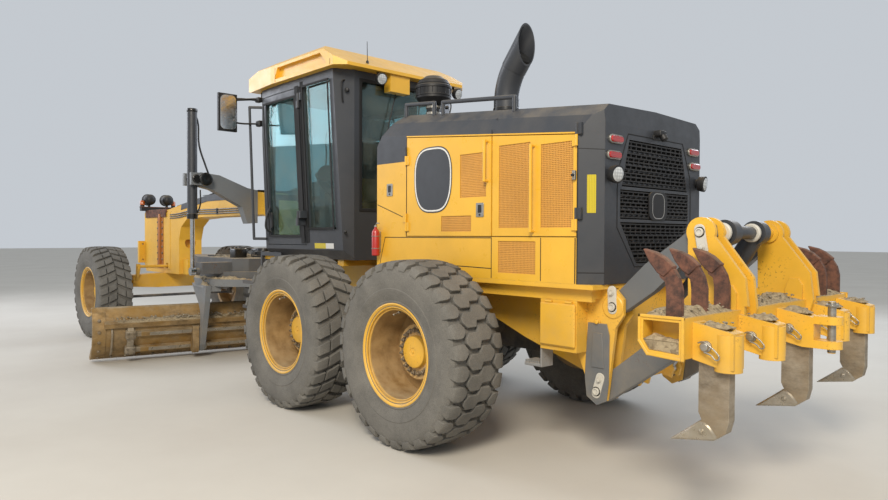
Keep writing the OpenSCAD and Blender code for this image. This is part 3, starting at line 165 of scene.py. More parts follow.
def tube(points, radius, sides=3):
    """A bent tube through its points, as a mesh."""
    deselect()
    curve = bpy.data.curves.new("line", "CURVE")
    curve.dimensions = "3D"
    curve.bevel_depth = radius
    curve.bevel_resolution = sides
    curve.use_fill_caps = True
    spline = curve.splines.new("BEZIER")
    spline.bezier_points.add(len(points) - 1)
    for knot, point in zip(spline.bezier_points, points):
        knot.co = point
        knot.handle_left_type = knot.handle_right_type = "AUTO"
    curve.resolution_u = 6
    obj = bpy.data.objects.new("line", curve)
    bpy.context.scene.collection.objects.link(obj)
    pick(obj)
    bpy.ops.object.convert(target="MESH")
    return bpy.context.object


def plate(outline, thickness, edge=0.003):
    """A flat plate of that outline, a list of points in the row frame, thickened to both sides."""
    deselect()
    points = [Vector(p) for p in outline]
    bpy.ops.mesh.primitive_circle_add(vertices=len(points), radius=1, fill_type="NGON")
    obj = bpy.context.object
    for vertex, point in zip(obj.data.vertices, points):
        vertex.co = point
    modified(obj, "SOLIDIFY", thickness=thickness, offset=0)
    return softened(recalculated(obj, 0.00001), edge, 1)


def box_at(x, y, z, edge=0.003, segments=1):
    """A box over ranges of station, side and height, with its edges rounded."""
    return block(at(x[0], y[0], z[0]), at(x[1], y[1], z[1]), edge, segments)


def rounded(centre, across, up, width, height, radius, steps=5):
    """The outline of a rounded rectangle round a centre, in the plane of two unit vectors."""
    across, up = Vector(across), Vector(up)
    points = []
    for i, (sx, sy) in enumerate(((1, 1), (-1, 1), (-1, -1), (1, -1))):
        for k in range(steps + 1):
            angle = (i + k / steps) * math.pi / 2
            points.append(
                Vector(centre)
                + across * (sx * (width / 2 - radius) + radius * math.cos(angle))
                + up * (sy * (height / 2 - radius) + radius * math.sin(angle))
            )
    return points


def side_outline(points, y):
    """Points of station and height as an outline at one side."""
    return [at(x, y, z) for x, z in points]


def turned(profile, start, direction, sides=32):
    """A piece turned on a lathe: its profile is (distance, radius) steps from a point along a direction."""
    deselect()
    distance, radius = profile[0]
    bpy.ops.mesh.primitive_circle_add(
        vertices=sides, radius=radius, fill_type="NGON", location=(0, 0, distance)
    )
    obj = settled()
    bpy.ops.object.mode_set(mode="EDIT")
    bpy.ops.mesh.select_mode(type="FACE")
    bpy.ops.mesh.select_all(action="SELECT")
    for further, wider in profile[1:]:
        bpy.ops.mesh.extrude_region_move(TRANSFORM_OT_translate={"value": (0, 0, further - distance)})
        if wider != radius:
            bpy.ops.transform.resize(value=(wider / radius, wider / radius, 1))
        distance, radius = further, wider
    bpy.ops.mesh.select_mode(type="EDGE")
    bpy.ops.mesh.select_all(action="SELECT")
    bpy.ops.mesh.fill_holes(sides=0)
    bpy.ops.mesh.normals_make_consistent(inside=False)
    bpy.ops.object.mode_set(mode="OBJECT")
    obj.data.transform(facing(start, direction))
    return obj


def strip(points, normal, width=0.006, rise=0.0012):
    """A flat strip that follows points on a face that looks along the normal."""
    made = []
    normal = Vector(normal).normalized()
    for i, (start, end) in enumerate(zip(points, points[1:])):
        start, end = Vector(start), Vector(end)
        along = (end - start).normalized()
        turn = Matrix((along, normal.cross(along), normal)).transposed().to_4x4()
        deselect()
        # Each second stretch stands a little higher, so that no two faces share a plane
        high = rise * (2.0 + 0.4 * (i % 2))
        bpy.ops.mesh.primitive_cube_add(size=1, scale=((end - start).length + width, width, high))
        obj = softened(settled(), rise * 0.5, 1)
        obj.data.transform(Matrix.Translation((start + end) / 2) @ turn)
        made.append(obj)
    return made


def drilled(x, z, y, pitch=0.012):
    """A thin sheet with rows of holes, over ranges of station and height, that looks to the side."""
    deselect()
    across, up = x[1] - x[0], z[1] - z[0]
    bpy.ops.mesh.primitive_grid_add(
        x_subdivisions=round(across / pitch), y_subdivisions=round(up / pitch), size=1,
        location=at((x[0] + x[1]) / 2, y, (z[0] + z[1]) / 2), rotation=(-math.pi / 2, 0, 0),
    )
    bpy.context.object.scale = (across, up, 1)
    obj = settled()
    bpy.ops.object.mode_set(mode="EDIT")
    bpy.ops.mesh.select_mode(type="FACE")
    bpy.ops.mesh.select_all(action="SELECT")
    bpy.ops.mesh.inset(thickness=pitch * 0.22, use_individual=True)
    bpy.ops.mesh.delete(type="FACE")
    bpy.ops.object.mode_set(mode="OBJECT")
    return modified(obj, "SOLIDIFY", thickness=0.002, offset=0)


def padded_block(x, y, z, crown):
    """A crowned cushion whose sides pull in between its corners."""
    obj = box_at(x, y, z, 0.03, 3)
    obj = modified(obj, "SUBSURF", levels=2, render_levels=2)
    low, high = at(x[0], y[0], z[0]), at(x[1], y[1], z[1])
    centre, half = (low + high) / 2, (high - low) / 2
    thin = min(range(3), key=lambda i: half[i])
    wide = [i for i in range(3) if i != thin]
    for vertex in obj.data.vertices:
        p = vertex.co - centre
        u, v = p[wide[0]] / half[wide[0]], p[wide[1]] / half[wide[1]]
        swell = max(0.0, (1 - u * u) * (1 - v * v))
        p[thin] += math.copysign(min(1.0, abs(p[thin]) / half[thin]), p[thin]) * crown * 0.4 * swell
        # Two sewn channels across the pad
        channel = sum(math.exp(-((u - c) / 0.045) ** 2) for c in (-0.33, 0.33))
        p[thin] -= math.copysign(0.008 * channel * swell ** 0.3, p[thin])
        for i, other in (wide, wide[::-1]):
            p[i] *= 1 - 0.03 * (1 - min(1.0, abs(p[other]) / half[other]) ** 2)
        vertex.co = centre + p
    return obj


def heap(x, y, z, height, seed, step=0.014):
    """A low heap of loose soil on a level face, thin at its rim."""
    deselect()
    across, deep = x[1] - x[0], y[1] - y[0]
    bpy.ops.mesh.primitive_grid_add(
        x_subdivisions=max(4, round(across / step)), y_subdivisions=max(4, round(deep / step)), size=1,
        location=at((x[0] + x[1]) / 2, (y[0] + y[1]) / 2, z),
    )
    bpy.context.object.scale = (across, deep, 1)
    obj = settled()
    corner = at(x[0], y[0], z)
    for vertex in obj.data.vertices:
        u, v = (vertex.co.x - corner.x) / across, (vertex.co.y - corner.y) / deep
        rim = max(0.0, min(1.0, 5 * min(u, 1 - u), 5 * min(v, 1 - v)))
        place = vertex.co + Vector((seed, 0, 0))
        lumps = 0.55 + 0.6 * noise.noise(place * 7) + 0.3 * noise.noise(place * 31)
        vertex.co.z += -0.005 + height * rim * max(-0.1, lumps)
    return modified(obj, "SOLIDIFY", thickness=0.004, offset=-1)


def stones(regions, count, size, seed):
    """Broken stones strewn over level regions: [station range, side range, height, heap height]."""
    dice = random.Random(seed)
    kinds = []
    for kind in range(3):
        deselect()
        bpy.ops.mesh.primitive_ico_sphere_add(subdivisions=1, radius=0.5)
        stone = bpy.context.object
        for vertex in stone.data.vertices:
            vertex.co *= 0.8 + 0.5 * noise.noise(vertex.co * 2.3 + Vector((kind * 5, seed, 0)))
        kinds.append(stone)
    areas = [(x[1] - x[0]) * (y[1] - y[0]) for x, y, z, height in regions]
    made = []
    for _ in range(count):
        x, y, z, height = dice.choices(regions, areas)[0]
        spot = at(dice.uniform(*x), dice.uniform(*y), z + height * dice.uniform(0.3, 0.75))
        grain = size * dice.uniform(0.5, 1.6)
        shape = Matrix.Diagonal((grain, grain * dice.uniform(0.6, 1.0), grain * dice.uniform(0.4, 0.8), 1))
        turn = Matrix.Rotation(dice.uniform(0, math.tau), 4, "Z")
        turn = turn @ Matrix.Rotation(dice.uniform(-0.5, 0.5), 4, "X")
        made.append(copied(dice.choice(kinds), Matrix.Translation(spot) @ turn @ shape))
    for stone in kinds:
        bpy.data.objects.remove(stone)
    return made


def copied(obj, matrix):
    """A copy with a mesh of its own, moved by the matrix."""
    twin = obj.copy()
    twin.data = obj.data.copy()
    twin.data.transform(matrix)
    bpy.context.scene.collection.objects.link(twin)
    return twin


def mirrored(objs):
    """The objects with copies of them on the machine's other side."""
    twins = []
    for obj in objs:
        twin = copied(obj, OTHER_SIDE)
        twin.data.flip_normals()
        twins.append(twin)
    return objs + twins


def laid(objs, matrix):
    """The objects moved by a matrix."""
    for obj in objs:
        obj.data.transform(matrix)
    return objs


def sided(objs, sign):
    """The objects, modelled on the machine's left, moved to its right where the sign says so."""
    if sign < 0:
        for obj in laid(objs, OTHER_SIDE):
            obj.data.flip_normals()
    return objs


def raised(point, rise):
    """A point at a height over another."""
    return point + Vector((0, 0, rise))


def aside(point, distance):
    """A point at a distance to the left of another."""
    return point + Vector((0, distance, 0))


def spread(pattern, matrices):
    """Copies of a pattern at each place; the pattern itself goes."""
    made = [copied(pattern, m) for m in matrices]
    bpy.data.objects.remove(pattern)
    return made


def facing(point, direction, turn=0.0):
    """The matrix that lays a pattern with its top along Z at a point, looking along a direction."""
    track = Vector(direction).to_track_quat("Z", "Y").to_matrix().to_4x4()
    return Matrix.Translation(point) @ track @ Matrix.Rotation(turn, 4, "Z")


def bolt(radius, height):
    """One bolt on its washer at the origin, looking up."""
    washer = rod((0, 0, 0), (0, 0, height * 0.3), radius * 1.35, 16)
    head = rod((0, 0, height * 0.3), (0, 0, height), radius, 6, radius * 0.12)
    return joined([washer, head])


def bolts(radius, height, places):
    """Bolts at (point, direction) places."""
    return spread(bolt(radius, height), [facing(p, d, i * 0.7) for i, (p, d) in enumerate(places)])


def joined(objs):
    """The objects as one."""
    pick(*objs)
    if len(objs) > 1:
        bpy.ops.object.join()
    return bpy.context.object


def piece(name, objs, body, slot, look=None, angle=35):
    """Joins objects to one named piece on a body, with its record slot's finish or a look of its own."""
    obj = joined(objs)
    obj.name = obj.data.name = name
    bpy.ops.object.shade_smooth_by_angle(angle=math.radians(angle))
    obj.data.materials.clear()
    obj.data.materials.append(MATERIALS[look or slot])
    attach(obj, body)
    return obj


def recalculated(obj, merge=0.0002):
    """The object with its doubles merged and its faces turned outward."""
    pick(obj)
    bpy.ops.object.mode_set(mode="EDIT")
    bpy.ops.mesh.select_all(action="SELECT")
    bpy.ops.mesh.remove_doubles(threshold=merge)
    bpy.ops.mesh.normals_make_consistent(inside=False)
    bpy.ops.object.mode_set(mode="OBJECT")
    return obj


# Materials

MATERIALS = {}


def linear(hex_colour):
    """A colour of an sRGB hex string, as the linear values that shaders take."""
    parts = [int(hex_colour[i : i + 2], 16) / 255 for i in (0, 2, 4)]
    return [p / 12.92 if p <= 0.04045 else ((p + 0.055) / 1.055) ** 2.4 for p in parts] + [1.0]


def add(tree, kind, values=None, links=None, **settings):
    """One node with its settings, the values of its sockets and what its sockets are fed by."""
    made = tree.nodes.new("ShaderNode" + kind)
    for key, value in settings.items():
        setattr(made, key, value)
    for socket, value in (values or {}).items():
        made.inputs[socket].default_value = value
    for socket, source in (links or {}).items():
        tree.links.new(source, made.inputs[socket])
    return made


def noise_of(tree, coords, size, detail=4.0, rough=0.6):
    """Cloudy noise whose lumps are about size metres across."""
    return add(
        tree, "TexNoise", {"Scale": 1 / size, "Detail": detail, "Roughness": rough}, {"Vector": coords}
    ).outputs["Fac"]


def ranged(tree, source, low, high, to_low=0.0, to_high=1.0):
    """A value stretched from low..high to to_low..to_high."""
    return add(
        tree,
        "MapRange",
        {"From Min": low, "From Max": high, "To Min": to_low, "To Max": to_high},
        {"Value": source},
    ).outputs["Result"]


def maths(tree, operation, a, b):
    """Two values, each a socket or a number, put together."""
    made = add(tree, "Math", operation=operation)
    for i, value in enumerate((a, b)):
        if isinstance(value, (int, float)):
            made.inputs[i].default_value = value
        else:
            tree.links.new(value, made.inputs[i])
    return made.outputs[0]


def mixed(tree, factor, a, b):
    """Two colours, each a socket or a linear colour, mixed by a factor."""
    made = add(tree, "Mix", data_type="RGBA")
    for index, value in ((0, factor), (6, a), (7, b)):
        if isinstance(value, (list, float, int)):
            made.inputs[index].default_value = value
        else:
            tree.links.new(value, made.inputs[index])
    return made.outputs[2]


def started(name):
    """A new material: its node tree, its coordinates, and the place on the machine among them."""
    material = bpy.data.materials.new(name)
    material.use_nodes = True
    coords = add(material.node_tree, "TexCoord")
    return material, material.node_tree, coords, coords.outputs["Object"]


def shaded(material, values, links):
    """The material, with values and sources for the inputs of its main shader."""
    tree = material.node_tree
    shader = tree.nodes["Principled BSDF"]
    for socket, value in values.items():
        shader.inputs[socket].default_value = value
    for socket, source in links.items():
        tree.links.new(source, shader.inputs[socket])
    return material


def bumped(tree, height, strength, distance, normal=None):
    """The normal of a surface with the relief of a height."""
    links = {"Height": height, "Normal": normal} if normal else {"Height": height}
    return add(tree, "Bump", {"Strength": strength, "Distance": distance}, links).outputs["Normal"]


def dust_of(tree, coords, on_top, down_low, low_z=1.3):
    """How thick dust lies: on faces that look up, and more towards the ground, in patches."""
    place = coords.outputs["Object"]
    up = add(tree, "SeparateXYZ", links={"Vector": coords.outputs["Normal"]}).outputs["Z"]
    height = add(tree, "SeparateXYZ", links={"Vector": place}).outputs["Z"]
    top = ranged(tree, up, 0.35, 0.95, 0.0, on_top)
    low = ranged(tree, height, low_z, 0.25, 0.0, down_low)
    patches = ranged(tree, noise_of(tree, place, 0.22, 8.0, 0.65), 0.36, 0.62)
    grains = ranged(tree, noise_of(tree, place, 0.012, 3.0), 0.3, 0.7, 0.75, 1.1)
    both = maths(tree, "ADD", top, low)
    return maths(tree, "MULTIPLY", maths(tree, "MULTIPLY", both, patches), grains)


DUST = linear("a8977a")


def soft_edges(tree, radius=0.004):
    """The normal of edges that look rounded, and how much a place is such an edge."""
    bevel = add(tree, "Bevel", {"Radius": radius}, samples=4).outputs["Normal"]
    flat = add(tree, "NewGeometry").outputs["Normal"]
    turn = add(tree, "VectorMath", links={0: bevel, 1: flat}, operation="DOT_PRODUCT").outputs["Value"]
    return bevel, ranged(tree, turn, 0.995, 0.9)


def paint(name, colour, on_top=0.4, down_low=0.5, chips=0.0, rough=0.38, coat=0.3, dish=None):
    """Enamel on steel plate: faded in patches, dusty on top and low down, with small rusty chips.

    A rim's enamel is brown with road dust inside its dish, nearer the middle than that side.
    """
    material, tree, coords, place = started(name)
    base = linear(colour)
    deep = [c * 0.82 for c in base[:3]] + [1.0]
    fade = ranged(tree, noise_of(tree, place, 0.7, 5.0), 0.35, 0.65)
    worn = mixed(tree, fade, deep, base)
    # Rusty chips a few millimetres across, gathered in patches
    gather = ranged(tree, noise_of(tree, place, 0.35, 3.0), 0.5, 0.75)
    spots = ranged(tree, noise_of(tree, place, 0.014, 2.0), 0.66 - chips * 0.1, 0.7 - chips * 0.1)
    chip = maths(tree, "MULTIPLY", spots, maths(tree, "MULTIPLY", gather, min(1.0, chips * 2)))
    worn = mixed(tree, chip, worn, linear("5b3a26"))
    bevel, edge = soft_edges(tree)
    # Paint rubbed thin along the edges, in broken lengths
    broken = ranged(tree, noise_of(tree, place, 0.05, 4.0), 0.45, 0.62)
    rubbed = maths(tree, "MULTIPLY", maths(tree, "MULTIPLY", edge, broken), min(0.6, 0.15 + chips))
    worn = mixed(tree, rubbed, worn, linear("7d6a50"))
    if dish:
        side = add(tree, "SeparateXYZ", links={"Vector": place}).outputs["Y"]
        inside = ranged(tree, maths(tree, "ABSOLUTE", side, 0.0), dish + 0.012, dish - 0.012, 0.0, 0.92)
        cakes = ranged(tree, noise_of(tree, place, 0.11, 6.0), 0.35, 0.65)
        worn = mixed(tree, inside, worn, mixed(tree, cakes, linear("7a6145"), linear("a5875d")))
    dust = dust_of(tree, coords, on_top, down_low)
    smear = ranged(tree, noise_of(tree, place, 0.09, 6.0), 0.3, 0.7, rough - 0.08, rough + 0.12)
    dull = maths(tree, "ADD", smear, maths(tree, "MULTIPLY", dust, 0.5))
    # Slight waves of the sheet and the skin of sprayed paint
    waves = bumped(tree, noise_of(tree, place, 0.3, 2.0), 0.25, 0.004, bevel)
    skin = bumped(tree, noise_of(tree, place, 0.004, 2.0), 0.2, 0.0006, waves)
    return shaded(material, {"Coat Weight": coat, "Coat Roughness": 0.25}, {
        "Base Color": mixed(tree, dust, worn, DUST),
        "Roughness": maths(tree, "MINIMUM", dull, 0.95),
        "Normal": skin,
    })


def worn_metal(name, colour, dark, scratch_rough=0.55, metallic=0.35, on_top=0.8, stain="8b6a3c"):
    """Steel scoured by soil: mottled, stained and pitted, bright at its edges and dusty on top."""
    material, tree, coords, place = started(name)
    streaked = add(tree, "Mapping", {"Scale": (0.75, 0.75, 1.4)}, {"Vector": place}).outputs["Vector"]
    streaks = ranged(tree, noise_of(tree, streaked, 0.1, 8.0, 0.7), 0.34, 0.66)
    stains = ranged(tree, noise_of(tree, place, 0.28, 6.0, 0.7), 0.42, 0.6)
    base = mixed(tree, streaks, linear(dark), linear(colour))
    base = mixed(tree, maths(tree, "MULTIPLY", stains, 0.75), base, linear(stain))
    bevel, edge = soft_edges(tree)
    broken = ranged(tree, noise_of(tree, place, 0.06, 4.0), 0.4, 0.6, 0.1, 0.8)
    base = mixed(tree, maths(tree, "MULTIPLY", edge, broken), base, linear("c0b8a8"))
    dust = dust_of(tree, coords, on_top, 0.35)
    scratches = noise_of(tree, place, 0.05, 6.0)
    return shaded(material, {"Metallic": metallic}, {
        "Base Color": mixed(tree, dust, base, DUST),
        "Roughness": ranged(tree, scratches, 0.3, 0.7, scratch_rough - 0.12, scratch_rough + 0.2),
        "Normal": bumped(tree, noise_of(tree, place, 0.02, 8.0, 0.7), 0.5, 0.0025, bevel),
    })


def rubber(name, colour, dusty):
    """Tyre rubber: near black, greyed by dry dust that fills its pores and grooves."""
    material, tree, _, place = started(name)
    film = ranged(tree, noise_of(tree, place, 0.3, 8.0, 0.7), 0.3, 0.7, dusty * 0.45, dusty)
    fine = ranged(tree, noise_of(tree, place, 0.006, 3.0), 0.35, 0.65, 0.7, 1.1)
    cover = maths(tree, "MULTIPLY", film, fine)
    return shaded(material, {"Roughness": 0.86, "Specular IOR Level": 0.3}, {
        "Base Color": mixed(tree, cover, linear(colour), linear("97938b")),
        "Normal": bumped(tree, noise_of(tree, place, 0.008, 6.0, 0.7), 0.35, 0.0015),
    })


def rust(name):
    """Bare steel gone to rust: dark brown with orange blooms and a rough, flaky skin."""
    material, tree, coords, place = started(name)
    blooms = ranged(tree, noise_of(tree, place, 0.06, 8.0, 0.7), 0.38, 0.62)
    base = mixed(tree, blooms, linear("43302b"), linear("785040"))
    return shaded(material, {"Roughness": 0.85}, {
        "Base Color": mixed(tree, dust_of(tree, coords, 0.4, 0.2), base, DUST),
        "Normal": bumped(tree, noise_of(tree, place, 0.012, 8.0, 0.75), 0.6, 0.002),
    })


def chrome(name):
    """Hard chrome on a cylinder's rod: bright, with faint rings of oil and dust."""
    material, tree, _, place = started(name)
    film = ranged(tree, noise_of(tree, place, 0.05, 6.0), 0.4, 0.8, 0.0, 0.35)
    return shaded(material, {"Metallic": 1.0}, {
        "Base Color": mixed(tree, film, linear("c9cbcc"), linear("8d8578")),
        "Roughness": ranged(tree, film, 0.0, 0.35, 0.12, 0.4),
    })


def window_glass(name):
    """Tinted safety glass: green-blue, clear in the middle, with a thin film of dust."""
    material, tree, _, place = started(name)
    film = ranged(tree, noise_of(tree, place, 0.25, 6.0, 0.7), 0.4, 0.75, 0.02, 0.12)
    clear = add(tree, "BsdfTransparent", {"Color": linear("cfe4e7")})
    gloss = add(tree, "BsdfGlossy", {"Color": linear("d9ecea"), "Roughness": 0.03})
    haze = add(tree, "BsdfDiffuse", {"Color": linear("b9b5a4")})
    view = add(tree, "LayerWeight", {"Blend": 0.12})
    edge = ranged(tree, view.outputs["Fresnel"], 0.0, 1.0, 0.06, 0.85)
    seen = add(tree, "MixShader", links={0: edge, 1: clear.outputs[0], 2: gloss.outputs[0]})
    dusty = add(tree, "MixShader", links={0: film, 1: seen.outputs[0], 2: haze.outputs[0]})
    tree.links.new(dusty.outputs[0], tree.nodes["Material Output"].inputs["Surface"])
    return material


def plastic(name, colour, rough=0.5, dusty=0.35):
    """Moulded plastic: a fine pebbled grain under a little dust."""
    material, tree, coords, place = started(name)
    return shaded(material, {"Roughness": rough}, {
        "Base Color": mixed(tree, dust_of(tree, coords, dusty, dusty * 0.5), linear(colour), DUST),
        "Normal": bumped(tree, noise_of(tree, place, 0.0025, 2.0), 0.3, 0.0005),
    })


def lens(name, colour, pitch=0.012):
    """A coloured lamp lens with the small pillows moulded in its inside."""
    material, tree, _, place = started(name)
    cells = add(tree, "TexVoronoi", {"Scale": 1 / pitch, "Randomness": 0.0}, {"Vector": place})
    pillows = cells.outputs["Distance"]
    base = linear(colour)
    deep = [c * 0.55 for c in base[:3]] + [1.0]
    return shaded(material, {"Roughness": 0.12, "Coat Weight": 1.0}, {
        "Base Color": mixed(tree, ranged(tree, pillows, 0.1, 0.6), base, deep),
        "Normal": bumped(tree, pillows, 0.5, 0.002),
    })


def earth(name, colour, dark):
    """Dry soil and crushed stone: each grain a shade of its own."""
    material, tree, _, place = started(name)
    cells = add(tree, "TexVoronoi", {"Scale": 1 / 0.014}, {"Vector": place})
    shade = add(tree, "SeparateColor", links={"Color": cells.outputs["Color"]}).outputs["Red"]
    clods = ranged(tree, noise_of(tree, place, 0.05, 8.0), 0.35, 0.65)
    base = mixed(tree, shade, linear(dark), linear(colour))
    return shaded(material, {"Roughness": 0.95}, {
        "Base Color": mixed(tree, maths(tree, "MULTIPLY", clods, 0.5), base, linear("b9a98c")),
        "Normal": bumped(tree, noise_of(tree, place, 0.01, 8.0, 0.75), 0.8, 0.004),
    })


def seat_fabric(name):
    """Woven seat cover: dark cloth with ribs a few millimetres apart."""
    material, tree, _, place = started(name)
    ribs = add(
        tree, "TexWave", {"Scale": 1 / 0.012, "Distortion": 0.4}, {"Vector": place}, bands_direction="Y"
    ).outputs["Fac"]
    return shaded(material, {"Roughness": 0.9, "Sheen Weight": 0.3}, {
        "Base Color": mixed(tree, ribs, linear("1b1c1e"), linear("3a3b3e")),
        "Normal": bumped(tree, ribs, 0.6, 0.001),
    })


def make_materials():
    """Makes the finish of each slot in the record, then the finer looks of small pieces."""
    looks = bpy.context.scene.grader_looks
    yellow = looks.yellow
    MATERIALS.update(
        frame_paint=paint("frame_enamel", yellow, 0.6, 0.45, 0.5, 0.42, 0.2),
        hood_paint=paint("hood_enamel", yellow, 0.3, 0.25, 0.1, 0.32, 0.4),
        roof_paint=paint("roof_enamel", yellow, 0.3, 0.0, 0.1, 0.35, 0.35),
        dark_paint=paint("charcoal_enamel", looks.charcoal, 0.35, 0.45, 0.2, 0.45, 0.2),
        grey_paint=paint("grey_enamel", looks.grey, 0.6, 0.35, 0.6, 0.45, 0.15),
        rim_paint=paint("rim_enamel", yellow, 0.4, 0.35, 0.3, 0.42, 0.2, dish=1.212),
        red_paint=paint("red_enamel", "b3241c", 0.2, 0.1, 0.0, 0.3, 0.5),
        tyre_rubber=rubber("tyre_rubber", "3a3a39", looks.tyre_dust),
        worn_steel=worn_metal("scoured_steel", "a98b5e", "66502f", stain="94702f"),
        rusty_steel=rust("rusted_steel"),
        bright_rod=chrome("hard_chrome"),
        window_glass=window_glass("tinted_glass"),
        lamp_red=lens("red_lens", "c0180f"),
        black_plastic=plastic("black_moulding", "1d1d1f"),
    )
    MATERIALS.update(
        seal=plastic("rubber_seal", "101011", 0.7, 0.15),
        soil=earth("dry_soil", "a39376", "6f6049"),
        gravel=earth("crushed_stone", "9c9486", "5f584c"),
        bright_steel=worn_metal("zinc_plated_steel", "b9b8b4", "85827b", 0.35, 0.8, 0.3, "a09a8c"),
        amber=lens("amber_lens", "e0701a"),
        clear_lens=lens("clear_lens", "d8dde0", 0.02),
        reflector=lens("yellow_reflector", "e9d21d", 0.006),
        # Near black, for painted shade inside hollows
        dark_hollow=plastic("dark_hollow", "0b0b0b", 0.9, 0.0),
        fabric=seat_fabric("seat_cloth"),
        oiled=paint("oily_black", "161616", 0.5, 0.3, 0.0, 0.3, 0.3),
        dusty_nuts=worn_metal("dusty_nuts", "8a8073", "4f463c", 0.6, 0.5, 0.5, "7d6a50"),
        cap_paint=paint("hub_cap_enamel", yellow, 0.3, 0.3, 0.3, 0.42, 0.2),
        hub_paint=paint("dusty_hub_enamel", "c9a368", 0.5, 0.5, 0.5, 0.6, 0.05),
        # More orange than the hood's yellow: painted shade of the dark that shows through the sheets' holes
        sheet_paint=paint("sheet_enamel", "e3a548", 0.2, 0.3, 0.1, 0.5, 0.1),
        # Painted shade: the sheets behind the perforated panels, for the dark seen through their holes
        sheet_backing=plastic("sheet_backing", "b98545", 0.9, 0.0),
        strip_paint=paint("stained_enamel", "b06a22", 0.4, 0.4, 1.0, 0.6, 0.05),
        mirror=chrome("silvered_glass"),
        white_enamel=paint("white_enamel", "e8e8e4", 0.2, 0.1, 0.1, 0.35, 0.3),
        grey_plate=paint("grey_trim", "9a9c9e", 0.2, 0.1, 0.1, 0.4, 0.2),
        link_paint=paint("dark_grey_enamel", "6a6d70", 0.6, 0.35, 0.5, 0.5, 0.1),
        arm_paint=paint("arm_grey_enamel", "767a7e", 0.5, 0.3, 0.4, 0.45, 0.15),
        drawbar_paint=paint("dusty_grey_enamel", "595b5e", 1.0, 0.45, 0.6, 0.6, 0.05),
        scoured_shank=worn_metal("scoured_shank_steel", "a59b8b", "6c6152", 0.5, 0.35, 0.3, "8a7a63"),
        pale_plate=paint("pale_zinc_paint", "cfccc2", 0.4, 0.3, 0.4, 0.45, 0.1),
        ground_steel=worn_metal("ground_steel", "c2beb6", "8d867b", 0.3, 0.7, 0.3, "a39a88"),
        tread_plate=worn_metal("serrated_steel", "6e6a62", "3c3833", 0.5, 0.4, 0.7),
    )


# CAD nodes whose finish is finer than their slot's
NODE_LOOKS = {
    "ripper_lower_links": "link_paint",
    "ripper_upper_links": "link_paint",
    "ripper_shanks": "scoured_shank",
    "drawbar": "drawbar_paint",
    "blade_circle": "arm_paint",
    "lift_arms": "arm_paint",
}


def dress_nodes():
    """Every CAD node in the record takes the material of its slot, or its finer look from NODE_LOOKS."""
    for sub in frame["record"]["subparts"]:
        obj = frame["nodes"][sub["node"]]
        obj.data.materials.clear()
        obj.data.materials.append(MATERIALS[NODE_LOOKS.get(sub["node"], sub["material_slot"])])


# Settings that a user would change


class GraderCamera(bpy.types.PropertyGroup):
    station: bpy.props.FloatProperty(
        name="Station", description="Camera's station from the tandem pivot",
        default=-4.4266, unit="LENGTH")
    side: bpy.props.FloatProperty(
        name="Side", description="Camera's distance to the machine's left", default=4.1682, unit="LENGTH")
    height: bpy.props.FloatProperty(
        name="Height", description="Camera's height over the ground", default=1.4586, unit="LENGTH")
    yaw: bpy.props.FloatProperty(
        name="Yaw", description="Turn from straight ahead towards the machine's right",
        default=math.radians(42.857), subtype="ANGLE")
    pitch: bpy.props.FloatProperty(
        name="Pitch", description="Tilt down from level", default=math.radians(1.11), subtype="ANGLE")
    roll: bpy.props.FloatProperty(
        name="Roll", description="Turn about the line of sight", default=math.radians(0.243), subtype="ANGLE")
    lens: bpy.props.FloatProperty(
        name="Lens", description="Focal length on a 36 mm sensor", default=27.82, unit="CAMERA")


class GraderLooks(bpy.types.PropertyGroup):
    yellow: bpy.props.StringProperty(
        name="Yellow", description="Colour of the enamel, as sRGB hex", default="eeb838")
    charcoal: bpy.props.StringProperty(
        name="Charcoal", description="Colour of the dark paint, as sRGB hex", default="383b41")
    grey: bpy.props.StringProperty(
        name="Grey", description="Colour of the arms and links, as sRGB hex", default="8e9296")
    tyre_dust: bpy.props.FloatProperty(
        name="Tyre dust", description="How much dust greys the tyres", default=0.62, min=0, max=1,
        subtype="FACTOR")


class GraderTread(bpy.types.PropertyGroup):
    rows: bpy.props.IntProperty(
        name="Lug rows", description="Rows of lugs round a tyre", default=30, min=16, max=40)
    depth: bpy.props.FloatProperty(
        name="Tread depth", description="Height of the lugs over the carcass", default=0.028,
        unit="LENGTH")


class GraderStones(bpy.types.PropertyGroup):
    seed: bpy.props.IntProperty(name="Seed", description="Seed of the scattered stones", default=7)
    size: bpy.props.FloatProperty(
        name="Stone size", description="Usual size of a stone", default=0.016, unit="LENGTH")


# Camera and stage

SENSOR_WIDTH = 36
FLOOR_SIZE = 160
LAMP_AIM = at(1.5, 0, 1.2)


class GRADER_OT_camera(bpy.types.Operator):
    """Sets the camera where the photograph was taken from"""

    bl_idname = "grader.camera"
    bl_label = "Camera"

    def execute(self, context):
        view = context.scene.grader_camera
        ahead = Vector((
            math.cos(view.yaw) * math.cos(view.pitch),
            -math.sin(view.yaw) * math.cos(view.pitch),
            -math.sin(view.pitch),
        ))
        right = ahead.cross(Vector(UP)).normalized()
        up = right.cross(ahead)
        turned_right = right * math.cos(view.roll) + up * math.sin(view.roll)
        turned_up = up * math.cos(view.roll) - right * math.sin(view.roll)
        deselect()
        bpy.ops.object.camera_add(location=at(view.station, view.side, view.height))
        camera = context.object
        camera.rotation_euler = Matrix((turned_right, turned_up, -ahead)).transposed().to_euler()
        camera.data.sensor_width = SENSOR_WIDTH
        camera.data.lens = view.lens
        context.scene.camera = camera
        return {"FINISHED"}


